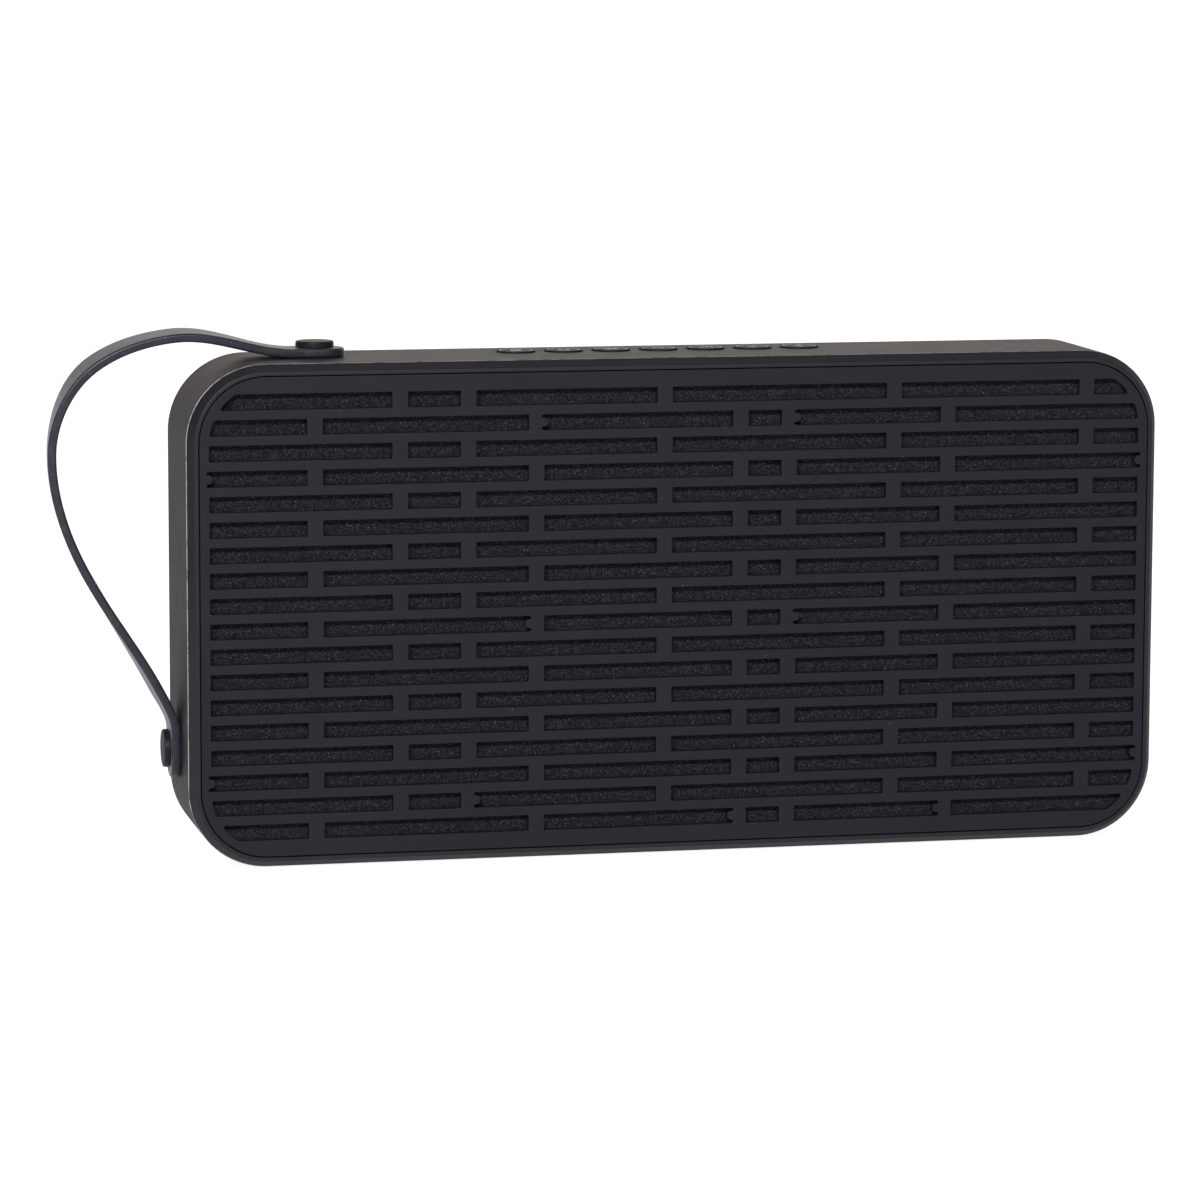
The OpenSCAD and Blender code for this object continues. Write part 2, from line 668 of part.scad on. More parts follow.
// a stud pointing inwards
module stud() {
  low = strap_gap + strap_t + 0.1;
  high = low + stud_head_t;
  rod(stud_r, -6.6, low + sink);
  rotate_extrude() polygon([[0, low], [stud_head_r, low], [stud_head_r, high - 0.6],
    [stud_head_r - 0.15, high - 0.3], [stud_head_r - 0.5, high], [0, high]]);
}

module strap_stud_top() color(black) at_stud_top() stud();
module strap_stud_side() color(black) at_stud_side() stud();

module strap_nut() {
  ring(stud_r + 0.1, 4.5, -wall - 0.6 - loose, -wall - loose);
  ring(stud_r + 0.05, 3.5, -wall - 3.2, -wall - 0.6 - 2 * loose);
}

module strap_nuts() color(steel) {
  at_stud_top() strap_nut();
  at_stud_side() strap_nut();
}

// ---- nodes ----

housing();
rear_cover();
rear_gasket();
rear_screws();
front_grille();
grille_foam();
foot_pad();
front_baffle();
baffle_screws();
color(steel) driver(-1) driver_frame();  // driver_frame_left
color(steel) driver(1) driver_frame();  // driver_frame_right
color(steel) driver(-1) driver_yoke();  // driver_yoke_left
color(steel) driver(1) driver_yoke();  // driver_yoke_right
color(dark) driver(-1) driver_magnet();  // driver_magnet_left
color(dark) driver(1) driver_magnet();  // driver_magnet_right
color(paper) driver(-1) driver_cone();  // driver_cone_left
color(paper) driver(1) driver_cone();  // driver_cone_right
color(black) driver(-1) dust_cap();  // dust_cap_left
color(black) driver(1) dust_cap();  // dust_cap_right
color(steel) driver(-1) voice_coil();  // voice_coil_left
color(steel) driver(1) voice_coil();  // voice_coil_right
color(black) driver(-1) driver_surround();  // driver_surround_left
color(black) driver(1) driver_surround();  // driver_surround_right
color(paper) driver(-1) driver_spider();  // driver_spider_left
color(paper) driver(1) driver_spider();  // driver_spider_right
driver_screws();
radiator_frame();
radiator_plate();
radiator_surround();
battery_tray();
battery_cells();
battery_contacts();
main_board();
board_chips();
board_screws();
port_board();
usb_port();
aux_jack();
port_screws();
port_flap();
flap_seal();
flap_pin();
button_power();
button_call();
button_previous();
button_play();
button_next();
button_volume_down();
button_volume_up();
button_carrier();
button_board();
button_switches();
button_screws();
strap();
strap_stud_top();
strap_stud_side();
strap_nuts();
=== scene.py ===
"""A flat portable shower speaker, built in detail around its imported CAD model.

Metres, +X right, +Y back, +Z up. The shell, grille, foam, strap, studs, buttons, flap, screws and foot
are remodelled here; everything else keeps its CAD shape and gets a procedural material.
"""
import bisect
import json
import math

import bmesh
import bpy
from mathutils import Matrix, Vector, noise


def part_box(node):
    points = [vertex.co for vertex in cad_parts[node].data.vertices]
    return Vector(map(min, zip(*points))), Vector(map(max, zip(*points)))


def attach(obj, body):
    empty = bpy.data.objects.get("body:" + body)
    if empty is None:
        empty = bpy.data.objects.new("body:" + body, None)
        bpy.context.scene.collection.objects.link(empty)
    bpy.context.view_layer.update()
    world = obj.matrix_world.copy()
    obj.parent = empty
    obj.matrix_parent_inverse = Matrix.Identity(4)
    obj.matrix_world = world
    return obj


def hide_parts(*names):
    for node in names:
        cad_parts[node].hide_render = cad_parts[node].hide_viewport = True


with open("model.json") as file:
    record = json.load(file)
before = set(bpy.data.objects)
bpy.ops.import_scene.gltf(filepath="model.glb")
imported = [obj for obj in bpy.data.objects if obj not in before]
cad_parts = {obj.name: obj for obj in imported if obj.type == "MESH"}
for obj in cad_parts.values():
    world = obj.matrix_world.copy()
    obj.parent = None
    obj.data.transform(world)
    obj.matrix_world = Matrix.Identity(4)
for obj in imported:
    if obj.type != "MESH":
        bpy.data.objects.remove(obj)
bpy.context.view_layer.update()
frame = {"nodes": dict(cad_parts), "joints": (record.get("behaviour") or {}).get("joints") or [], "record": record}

MM = 0.001
SHARP = math.radians(24)            # edges that turn further than this stay crisp
OUTLINE_STEPS = 20                  # steps round each corner of an outline
FINE_TURN = 64                      # steps round a lathed piece in plain view
SMALL_TURN = 40                     # and round a small one
PAST = 1 * MM                       # how far a cutter passes the face that it cuts
MIX_A, MIX_B, MIX_OUT = 6, 7, 2     # the colour sockets of a Mix node

# ---- places and sizes, from the frame where it gives them ----

shell_low, shell_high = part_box("housing")
panel_low, panel_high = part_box("front_grille")
foam_low, foam_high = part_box("grille_foam")
flap_low, flap_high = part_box("port_flap")
pad_low, pad_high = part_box("foot_pad")
strap_low, strap_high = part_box("strap")

CASE_W = shell_high.x - shell_low.x
CASE_H = shell_high.z - shell_low.z
SIDE = CASE_W / 2
TOP = shell_high.z
FRONT = shell_low.y
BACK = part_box("rear_cover")[1].y
PARTING = shell_high.y
MID_Z = (shell_low.z + shell_high.z) / 2
CORNER_R = 23 * MM
WALL = 2.6 * MM
BOSS_IN = 8 * MM                    # screw centres in from the outside
MID_SCREW_X = 66 * MM
SEAM = 0.3 * MM                     # gap round the panel
GROOVE = 0.35 * MM                  # depth of the fine groove where the cover meets the case band
ARRIS_BACK = FRONT + 3.56 * MM      # the narrow land between the case band and the bezel's slope
ARRIS_FRONT = FRONT + 3.44 * MM
ARRIS_W = 0.2 * MM

KEYS = ["power", "call", "previous", "play", "next", "volume_down", "volume_up"]
KEY_R = 5.7 * MM
KEY_HOLE_R = 6 * MM

STRAP_T = 2.6 * MM
STRAP_EDGE = 0.75 * MM              # rounding of the strap's edges
STRAP_HALF_W = (strap_high.y - strap_low.y) / 2
STRAP_MID_Y = (strap_high.y + strap_low.y) / 2
# the strap's route from the top stud to the side stud, within a millimetre of the CAD strap's: x, z in mm,
# heading, and how many degrees its back edge leans outward
STRAP_KNOTS = [(-96.9, 150, 180, 0), (-112.3, 150, 180, 0), (-147.2, 155.4, 185.3, 3.5),
               (-171.5, 147.1, 215.9, 5), (-183.5, 122.1, 268.2, -5), (-173.3, 84.7, 298.7, -3),
               (-153.2, 50.5, 297.5, 4), (-148.4, 38.2, 270, 0), (-148.4, 24.4, 270, 0)]

ROWS = 18
ROW_PITCH = 7.44 * MM
SLOT_H = 4.6 * MM
BLOCK_W = 281.3 * MM                # the slotted block
BLOCK_CLIP_H = 136.4 * MM           # height and corner radius of the outline that its corner slots keep to
BLOCK_R = 17 * MM
SLOT_TIP = 0.5 * MM                 # how much a corner slot's sharp tip is cut back
WEB_W = 4.7 * MM
# middles of the upright webs along the odd and the even rows, in mm from the block's left end
WEBS_ODD = [56.1, 76.4, 135.3, 205.2, 265]
WEBS_EVEN = [31, 96.7, 158.3, 173.1, 221.9]
# fixing posts that show in a slot end: row, place along the row in mm, side the slot lies on
POSTS = [(2, 99.1, 1), (2, 175.5, 1), (4, 0, 1), (4, 281.3, -1), (10, 94.3, -1), (10, 175.5, 1),
         (16, 0, 1), (16, 281.3, -1), (17, 78.8, 1), (18, 155.9, -1), (18, 219.5, -1)]
POST_R = 1.4 * MM
POST_BACK = 0.3 * MM                # the post's centre beyond the slot's end
POST_BITE = 0.75 * MM               # how much longer such a slot is
FOAM_GROW = 0.5 * MM                # how much wider the soft foam is squeezed than its CAD sheet


# ---- camera, light and floor ----

def make_camera():
    """The eye stands 1.5 m in front, a little left and above, and looks to the right and down."""
    eye = (-0.3499, -1.4997, 0.2879)
    yaw = math.radians(12.421)
    pitch = math.radians(7.931)
    roll = math.radians(0.181)
    ahead = Vector((math.sin(yaw) * math.cos(pitch), math.cos(yaw) * math.cos(pitch), -math.sin(pitch)))
    level = Vector((math.cos(yaw), -math.sin(yaw), 0))
    lift = level.cross(ahead)
    right = math.cos(roll) * level + math.sin(roll) * lift
    up = math.cos(roll) * lift - math.sin(roll) * level
    data = bpy.data.cameras.new("camera")
    data.lens = 155.145
    data.clip_start = 0.05
    data.clip_end = 100
    camera = bpy.data.objects.new("camera", data)
    turned = Matrix((right, up, -ahead)).transposed().to_4x4()
    camera.matrix_world = Matrix.Translation(eye) @ turned
    bpy.context.scene.collection.objects.link(camera)
    bpy.context.scene.camera = camera


def add_light(name, place, target, width, height, power, colour):
    """One softbox that faces a target."""
    data = bpy.data.lights.new(name, "AREA")
    data.shape = "RECTANGLE"
    data.size = width
    data.size_y = height
    data.energy = power
    data.color = colour
    light = bpy.data.objects.new(name, data)
    light.location = place
    light.rotation_euler = (Vector(target) - Vector(place)).to_track_quat("-Z", "Y").to_euler()
    bpy.context.scene.collection.objects.link(light)


def make_world():
    """What the object mirrors: bright behind it, less so at the strap's side, and dim before it. The
    camera itself sees white."""
    world = bpy.data.worlds.new("studio")
    world.use_nodes = True
    tree = world.node_tree
    place = tree.nodes.new("ShaderNodeTexCoord")
    axes = tree.nodes.new("ShaderNodeSeparateXYZ")
    behind = tree.nodes.new("ShaderNodeMapRange")
    behind.inputs["From Min"].default_value = 0.35
    behind.inputs["From Max"].default_value = 0.92
    side = tree.nodes.new("ShaderNodeMapRange")
    side.inputs["From Min"].default_value = -0.30
    side.inputs["From Max"].default_value = 0.05
    side.inputs["To Min"].default_value = 0.48
    share = tree.nodes.new("ShaderNodeMath")
    share.operation = "MULTIPLY"
    colour = tree.nodes.new("ShaderNodeMix")
    colour.data_type = "RGBA"
    colour.inputs[MIX_A].default_value = (0.055, 0.056, 0.07, 1)
    colour.inputs[MIX_B].default_value = (0.79, 0.72, 0.67, 1)
    seen = tree.nodes.new("ShaderNodeLightPath")
    shown = tree.nodes.new("ShaderNodeMix")
    shown.data_type = "RGBA"
    shown.inputs[MIX_B].default_value = (1, 1, 1, 1)
    links = [(place.outputs["Generated"], axes.inputs[0]),
             (axes.outputs["Y"], behind.inputs["Value"]),
             (axes.outputs["X"], side.inputs["Value"]),
             (behind.outputs["Result"], share.inputs[0]),
             (side.outputs["Result"], share.inputs[1]),
             (share.outputs[0], colour.inputs["Factor"]),
             (seen.outputs["Is Camera Ray"], shown.inputs["Factor"]),
             (colour.outputs[MIX_OUT], shown.inputs[MIX_A]),
             (shown.outputs[MIX_OUT], tree.nodes["Background"].inputs["Color"])]
    for source, target in links:
        tree.links.new(source, target)
    bpy.context.scene.world = world


def make_stage():
    """The key softbox, the world and a pale floor."""
    add_light("key_softbox", place=(-1.2, -3.2, 2.0), target=(0, 0, MID_Z), width=2.4, height=0.4,
              power=94, colour=(0.93, 0.95, 1))
    make_world()
    bpy.context.scene.view_settings.view_transform = "Standard"

    bm = bmesh.new()
    bmesh.ops.create_grid(bm, x_segments=2, y_segments=2, size=40)
    data = bpy.data.meshes.new("floor")
    bm.to_mesh(data)
    bm.free()
    floor = bpy.data.objects.new("floor", data)
    bpy.context.scene.collection.objects.link(floor)
    floor.data.materials.append(floor_finish())


# ---- materials ----

class Finish:
    """A material's node tree, with short calls for the nodes that these finishes share. values set the
    shader's own inputs, with _ for a space."""

    def __init__(self, name, **values):
        self.material = bpy.data.materials.new(name)
        self.material.use_nodes = True
        self.tree = self.material.node_tree
        self.shader = self.tree.nodes["Principled BSDF"]
        self.place = self.add("ShaderNodeTexCoord").outputs["Object"]
        for socket, value in values.items():
            self.shader.inputs[socket.replace("_", " ")].default_value = value

    def add(self, kind, inputs=(), **settings):
        """A node with its settings, and with a value or a link at each named or numbered input."""
        node = self.tree.nodes.new(kind)
        for name, value in settings.items():
            setattr(node, name, value)
        for socket, value in dict(inputs).items():
            if isinstance(value, bpy.types.NodeSocket):
                self.tree.links.new(value, node.inputs[socket])
            else:
                node.inputs[socket].default_value = value
        return node

    def noise(self, size, detail=2.0, rough=0.5):
        """A noise whose lumps are about size metres across."""
        inputs = {"Vector": self.place, "Scale": 1 / size, "Detail": detail, "Roughness": rough}
        return self.add("ShaderNodeTexNoise", inputs).outputs["Fac"]

    def cells(self, size, output="Distance", feature="F1"):
        """A cell pattern: by default, the distance to the nearest point, in cells of the given size."""
        inputs = {"Vector": self.place, "Scale": 1 / size}
        return self.add("ShaderNodeTexVoronoi", inputs, feature=feature).outputs[output]

    def remap(self, value, low, high, to_low=0.0, to_high=1.0):
        """A value's span from low to high, spread from to_low to to_high and held there beyond it."""
        inputs = {"Value": value, "From Min": low, "From Max": high, "To Min": to_low, "To Max": to_high}
        return self.add("ShaderNodeMapRange", inputs).outputs["Result"]

    def math(self, operation, a, b):
        """One arithmetic step on two values."""
        return self.add("ShaderNodeMath", {0: a, 1: b}, operation=operation).outputs[0]

    def blend(self, share, a, b):
        """Colour a where share is 0, and b where it is 1."""
        node = self.add("ShaderNodeMix", {"Factor": share}, data_type="RGBA")
        for socket, value in ((MIX_A, a), (MIX_B, b)):
            if isinstance(value, bpy.types.NodeSocket):
                self.tree.links.new(value, node.inputs[socket])
            else:
                node.inputs[socket].default_value = (*value, 1)
        return node.outputs[MIX_OUT]

    def bump(self, height, depth, strength=1.0, below=None):
        """A bump of about depth metres, on top of the one below."""
        inputs = {"Height": height, "Distance": depth, "Strength": strength}
        if below:
            inputs["Normal"] = below
        return self.add("ShaderNodeBump", inputs).outputs["Normal"]

    def specks(self, size, share, radius):
        """1 in a share of cells of the given size, within a radius of the cell's point, and 0 elsewhere."""
        near = self.remap(self.cells(size), radius, radius * 0.6)
        pick = self.add("ShaderNodeSeparateColor", {"Color": self.cells(size, "Color")}).outputs["Red"]
        return self.math("MULTIPLY", near, self.math("LESS_THAN", pick, share))

    def wire(self, colour=None, roughness=None, normal=None):
        """Links what is given to the shader, and gives back the material."""
        for socket, value in (("Base Color", colour), ("Roughness", roughness), ("Normal", normal)):
            if value is not None:
                self.tree.links.new(value, self.shader.inputs[socket])
        return self.material


def floor_finish():
    """Pale and even to the eye, and darker in what the object mirrors."""
    finish = Finish("floor_paper", Roughness=0.9)
    seen = finish.add("ShaderNodeLightPath").outputs["Is Camera Ray"]
    colour = finish.blend(seen, (0.55, 0.55, 0.55), (0.86, 0.86, 0.86))
    fibre = finish.bump(finish.noise(1.5 * MM, 4), 0.05 * MM)
    finish.shader.inputs["Emission Color"].default_value = (1, 1, 1, 1)
    glow = finish.remap(seen, 0, 1, 0.25, 0.92)
    finish.tree.links.new(glow, finish.shader.inputs["Emission Strength"])
    return finish.wire(colour, normal=fibre)


def moulded(name, dark, light, rough=(0.42, 0.52), grain=0.35 * MM, depth=0.012 * MM, dust=0.05,
            **values):
    """Moulded plastic: a fine spark-eroded grain, slow changes of tone and gloss, and a little dust."""
    finish = Finish(name, **values)
    tone = finish.blend(finish.remap(finish.noise(22 * MM, 3), 0.3, 0.7), dark, light)
    specks = finish.specks(3.2 * MM, dust, 0.055)
    colour = finish.blend(specks, tone, (0.30, 0.31, 0.34))
    gloss = finish.remap(finish.noise(9 * MM, 5, 0.6), 0.3, 0.7, *rough)
    fine = finish.bump(finish.noise(grain, 2.5, 0.6), depth)
    return finish.wire(colour, gloss, finish.bump(finish.noise(30 * MM, 1), 0.02 * MM, 0.2, fine))


def foam_finish():
    """Open-cell foam: painted shade in the pits and paler grey on the raised cell edges, both following the bump,
    and a few cells painted pale as highlights.
    """
    finish = Finish("foam_cells", Roughness=0.85)
    lumps = finish.noise(0.6 * MM, 3, 0.75)
    # painted shade: the tone follows the bump's lumps, darkest in the pits
    tone = finish.blend(finish.remap(lumps, 0.44, 0.62), (0.003, 0.003, 0.005), (0.046, 0.046, 0.058))
    patches = finish.remap(finish.noise(24 * MM, 2), 0.58, 0.78, 0, 0.16)
    warm = finish.blend(patches, tone, (0.05, 0.043, 0.038))
    # painted highlights: a few pale specks for cells that catch the light
    colour = finish.blend(finish.specks(0.8 * MM, 0.16, 0.22), warm, (0.22, 0.23, 0.28))
    return finish.wire(colour, normal=finish.bump(lumps, 0.5 * MM))


def strap_finish():
    """Coated leather: a pebbled grain with fine creases, and paler scuffs."""
    finish = Finish("strap_grain", Specular_Tint=(0.88, 0.92, 1, 1), Coat_Weight=0.6, Coat_Roughness=0.35,
                    Sheen_Weight=0.4, Sheen_Roughness=0.35, Sheen_Tint=(0.86, 0.91, 1, 1))
    pebble = finish.cells(0.7 * MM, feature="SMOOTH_F1")
    crease = finish.noise(2.4 * MM, 4, 0.6)
    scuff = finish.remap(finish.noise(5 * MM, 5, 0.65), 0.52, 0.75)
    tone = finish.blend(finish.remap(crease, 0.3, 0.7), (0.024, 0.0235, 0.032), (0.037, 0.036, 0.048))
    worn = finish.blend(finish.math("MULTIPLY", scuff, 0.5), tone, (0.11, 0.11, 0.12))
    colour = finish.blend(finish.specks(1.3 * MM, 0.12, 0.13), worn, (0.45, 0.46, 0.52))
    gloss = finish.remap(crease, 0.3, 0.7, 0.36, 0.5)
    normal = finish.bump(crease, 0.08 * MM, 0.6, finish.bump(pebble, 0.05 * MM, 0.5))
    return finish.wire(colour, gloss, normal)


def arris_highlight_finish():
    """The case's front arris, painted pale as a highlight: brightest at the strap's side and broken into short
    runs.
    """
    finish = Finish("painted_arris_highlight", Roughness=0.4)
    x = finish.add("ShaderNodeSeparateXYZ", {0: finish.place}).outputs["X"]
    side = finish.remap(x, -SIDE + 24 * MM, -SIDE + 5 * MM, 0.42, 1)
    runs = finish.remap(finish.noise(7 * MM, 5, 0.75), 0.40, 0.52, 0.35, 1)
    # the painted highlight's colour, pale warm grey where it is strongest
    colour = finish.blend(finish.math("MULTIPLY", side, runs), (0.03, 0.03, 0.033), (0.70, 0.64, 0.58))
    return finish.wire(colour, normal=finish.bump(finish.noise(1.2 * MM, 3), 0.03 * MM))


def metal(name, dark, light, rough=(0.25, 0.4), grain=0.6 * MM, depth=0.004 * MM):
    """Bare or plated metal with fine handling marks."""
    finish = Finish(name, Metallic=1.0)
    colour = finish.blend(finish.remap(finish.noise(4 * MM, 4), 0.3, 0.7), dark, light)
    gloss = finish.remap(finish.noise(1.5 * MM, 5, 0.65), 0.3, 0.7, *rough)
    return finish.wire(colour, gloss, finish.bump(finish.noise(grain, 3), depth))


def matte(name, dark, light, rough=(0.6, 0.8), grain=0.5 * MM, depth=0.03 * MM):
    """Rubber, pulp, ferrite and other dull stuff: two tones and a grain."""
    finish = Finish(name)
    colour = finish.blend(finish.remap(finish.noise(grain * 3, 4, 0.6), 0.3, 0.7), dark, light)
    gloss = finish.remap(finish.noise(grain * 6, 3), 0.3, 0.7, *rough)
    return finish.wire(colour, gloss, finish.bump(finish.noise(grain, 3, 0.6), depth))


def circuit_finish():
    """A solder-masked board with copper tracks just under the mask."""
    finish = Finish("circuit_mask", Coat_Weight=0.5, Coat_Roughness=0.2)
    tracks = finish.remap(finish.cells(2.2 * MM, feature="DISTANCE_TO_EDGE"), 0.05, 0.09)
    mask = finish.blend(finish.noise(6 * MM, 2), (0.010, 0.075, 0.030), (0.014, 0.095, 0.040))
    colour = finish.blend(tracks, (0.030, 0.16, 0.060), mask)
    gloss = finish.remap(finish.noise(3 * MM, 3), 0.3, 0.7, 0.3, 0.42)
    return finish.wire(colour, gloss, finish.bump(tracks, -0.02 * MM))


def make_finishes():
    """Every finish: by the record's slot name, and the painted highlights on the case's arris and the caps' rims,
    and the symbols.
    """
    return {
        "case_plastic": moulded("case_satin", (0.0200, 0.0200, 0.0256), (0.0234, 0.0234, 0.0296),
                                (0.45, 0.49)),
        "painted_arris_highlight": arris_highlight_finish(),
        "grille_plastic": moulded("panel_satin", (0.0144, 0.0146, 0.0214), (0.0172, 0.0175, 0.0252),
                                  (0.46, 0.56), Specular_IOR_Level=0.42),
        "foam": foam_finish(),
        "strap_leather": strap_finish(),
        "stud_metal": moulded("stud_satin", (0.016, 0.016, 0.018), (0.022, 0.022, 0.025), (0.36, 0.46),
                              dust=0.02, Specular_IOR_Level=0.36),
        "button_plastic": moulded("button_satin", (0.020, 0.020, 0.023), (0.026, 0.026, 0.029),
                                  (0.44, 0.52), dust=0.02, Specular_IOR_Level=0.32),
        # painted highlight on the inner slope of each cap's rim
        "button_rim_highlight": moulded("painted_rim_highlight", (0.66, 0.66, 0.68), (0.76, 0.76, 0.78), (0.3, 0.4), dust=0),
        "rubber": matte("black_rubber", (0.014, 0.014, 0.015), (0.024, 0.024, 0.026)),
        "inner_plastic": moulded("inner_moulding", (0.03, 0.03, 0.032), (0.045, 0.045, 0.047), (0.5, 0.65)),
        "steel": metal("zinc_plate", (0.50, 0.51, 0.52), (0.66, 0.66, 0.65)),
        "basket_steel": metal("painted_basket", (0.20, 0.20, 0.21), (0.28, 0.28, 0.29), (0.4, 0.55)),
        "ferrite": matte("ferrite_grit", (0.030, 0.030, 0.032), (0.060, 0.058, 0.056), grain=0.3 * MM),
        "cone_pulp": matte("paper_pulp", (0.045, 0.043, 0.040), (0.085, 0.082, 0.076), (0.85, 0.95),
                           0.8 * MM, 0.08 * MM),
        "copper": metal("copper_winding", (0.55, 0.24, 0.12), (0.72, 0.36, 0.20), grain=0.2 * MM,
                        depth=0.02 * MM),
        "circuit_board": circuit_finish(),
        "component_black": matte("moulded_epoxy", (0.015, 0.015, 0.016), (0.028, 0.028, 0.030), (0.4, 0.6)),
        "cell_wrap": matte("shrink_wrap", (0.02, 0.07, 0.20), (0.03, 0.09, 0.26), (0.25, 0.4), 1.2 * MM,
                           0.02 * MM),
        "symbol": matte("white_print", (0.74, 0.75, 0.77), (0.86, 0.87, 0.88), (0.5, 0.6), 0.2 * MM,
                        0.01 * MM),
    }


# ---- building blocks ----

def rounded_path(width, height, radius, steps=14):
    """Points and outward normals round a rounded rectangle, anticlockwise."""
    path = []
    for turn, (sx, sy) in enumerate(((1, 1), (-1, 1), (-1, -1), (1, -1))):
        for k in range(steps + 1):
            angle = (turn + k / steps) * math.pi / 2
            normal = Vector((math.cos(angle), math.sin(angle)))
            centre = Vector((sx * (width / 2 - radius), sy * (height / 2 - radius)))
            path.append((centre + radius * normal, normal))
    return path


def bezier(a, b, c, d, steps):
    """Points of a cubic curve, both ends included."""
    points = []
    for k in range(steps + 1):
        t = k / steps
        weights = ((1 - t) ** 3, 3 * t * (1 - t) ** 2, 3 * t * t * (1 - t), t ** 3)
        points.append(tuple(sum(w * p[i] for w, p in zip(weights, (a, b, c, d))) for i in (0, 1)))
    return points


def arc(centre, radius, start, end, steps):
    """Points of an arc in degrees, both ends included."""
    angles = [math.radians(start + (end - start) * k / steps) for k in range(steps + 1)]
    return [(centre[0] + radius * math.cos(a), centre[1] + radius * math.sin(a)) for a in angles]


def join_loops(bm, loops, closed=False):
    """Quads between each loop of vertices and the next."""
    pairs = list(zip(loops, loops[1:] + loops[:1])) if closed else list(zip(loops, loops[1:]))
    for a, b in pairs:
        for k in range(len(a)):
            m = (k + 1) % len(a)
            bm.faces.new((a[k], a[m], b[m], b[k]))


def sweep_rim(bm, path, profile, place, closed):
    """A profile of (inset, level) pairs swept round a path. place turns x, y and level into a point.
    An open profile gets a flat face at each end."""
    loops = []
    for inset, level in profile:
        points = [point - normal * inset for point, normal in path]
        loops.append([bm.verts.new(place(p.x, p.y, level)) for p in points])
    join_loops(bm, loops, closed)
    if not closed:
        bm.faces.new(loops[0])
        bm.faces.new(loops[-1])


def on_front(x, z, y):
    """A point given by its place from the middle of the case's front, and its depth."""
    return Vector((x, y, MID_Z + z))


def case_outline():
    """The case's outline from the front, round its own middle."""
    return rounded_path(CASE_W, CASE_H, CORNER_R, OUTLINE_STEPS)


def upright(x, y, z):
    """For a sweep or prism whose outline lies flat and whose levels run up."""
    return Vector((x, y, z))


def turn_lathe(bm, profile, matrix=Matrix.Identity(4), steps=48):
    """A profile of (radius, height) pairs turned round z, which starts and ends on the axis."""
    angles = [2 * math.pi * k / steps for k in range(steps)]
    ends = [bm.verts.new(matrix @ Vector((0, 0, profile[k][1]))) for k in (0, -1)]
    loops = [[bm.verts.new(matrix @ Vector((r * math.cos(a), r * math.sin(a), h))) for a in angles]
             for r, h in profile[1:-1]]
    join_loops(bm, loops)
    for k in range(steps):
        m = (k + 1) % steps
        bm.faces.new((ends[0], loops[0][m], loops[0][k]))
        bm.faces.new((ends[1], loops[-1][k], loops[-1][m]))


def add_prism(bm, outline, low, high, place):
    """A flat outline given thickness between two levels."""
    loops = [[bm.verts.new(place(x, y, level)) for x, y in outline] for level in (low, high)]
    join_loops(bm, loops)
    bm.faces.new(loops[0])
    bm.faces.new(loops[1])


def plus(reach, half):
    """A plus sign's outline, by how far its arms reach and half their width."""
    outline = []
    quarter = [(reach, -half), (reach, half), (half, half)]
    for turn in range(4):
        outline += quarter
        quarter = [(-y, x) for x, y in quarter]
    return outline


def add_box(bm, low, high):
    """A box between two opposite corners."""
    low, high = Vector(low), Vector(high)
    matrix = Matrix.LocRotScale((low + high) / 2, None, high - low)
    bmesh.ops.create_cube(bm, size=1, matrix=matrix)


def new_object(name, bm):
    """An object from a bmesh, with its doubled points merged and its normals outward."""
    bmesh.ops.remove_doubles(bm, verts=bm.verts, dist=1e-7)
    bmesh.ops.recalc_face_normals(bm, faces=bm.faces)
    data = bpy.data.meshes.new(name)
    bm.to_mesh(data)
    bm.free()
    piece = bpy.data.objects.new(name, data)
    bpy.context.scene.collection.objects.link(piece)
    return piece


def apply_modifiers(piece):
    """Turns what the modifiers show into the piece's own mesh."""
    shown = piece.evaluated_get(bpy.context.evaluated_depsgraph_get())
    data = bpy.data.meshes.new_from_object(shown)
    piece.modifiers.clear()
    piece.data = data


def cut(piece, tools, operation="DIFFERENCE"):
    """Takes each tool's shape out of a piece, or adds it, and removes the tools."""
    for tool in tools:
        step = piece.modifiers.new("cut", "BOOLEAN")
        step.operation = operation
        step.solver = "EXACT"
        step.object = tool
    bpy.context.view_layer.update()
    apply_modifiers(piece)
    for tool in tools:
        bpy.data.objects.remove(tool)


def soften(piece, width):
    """Rounds a piece's sharp edges."""
    step = piece.modifiers.new("soften", "BEVEL")
    step.width = width
    step.segments = 3
    step.limit_method = "ANGLE"
    step.angle_limit = math.radians(40)
    step.harden_normals = False
    bpy.context.view_layer.update()
    apply_modifiers(piece)


def finish_piece(piece, finish, body, nodes=()):
    """Gives a piece its smooth shading and material, ties it to its body and hides the CAD nodes that it replaces.
    """
    piece.data.materials.clear()
    piece.data.materials.append(finish)
    for face in piece.data.polygons:
        face.use_smooth = True
    piece.data.set_sharp_from_angle(angle=SHARP)
    step = piece.modifiers.new("even_normals", "WEIGHTED_NORMAL")
    step.keep_sharp = True
    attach(piece, body)
    if nodes:
        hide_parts(*nodes)


# ---- case ----

def screw_places():
    """The eight case screws: four on the corners' diagonals and four along the long sides."""
    corner = (CORNER_R - BOSS_IN) / math.sqrt(2)
    x = CASE_W / 2 - CORNER_R + corner
    z = CASE_H / 2 - CORNER_R + corner
    across = CASE_H / 2 - BOSS_IN
    return [(sx * a, sz * b) for sx in (-1, 1) for sz in (-1, 1)
            for a, b in ((x, z), (MID_SCREW_X, across))]


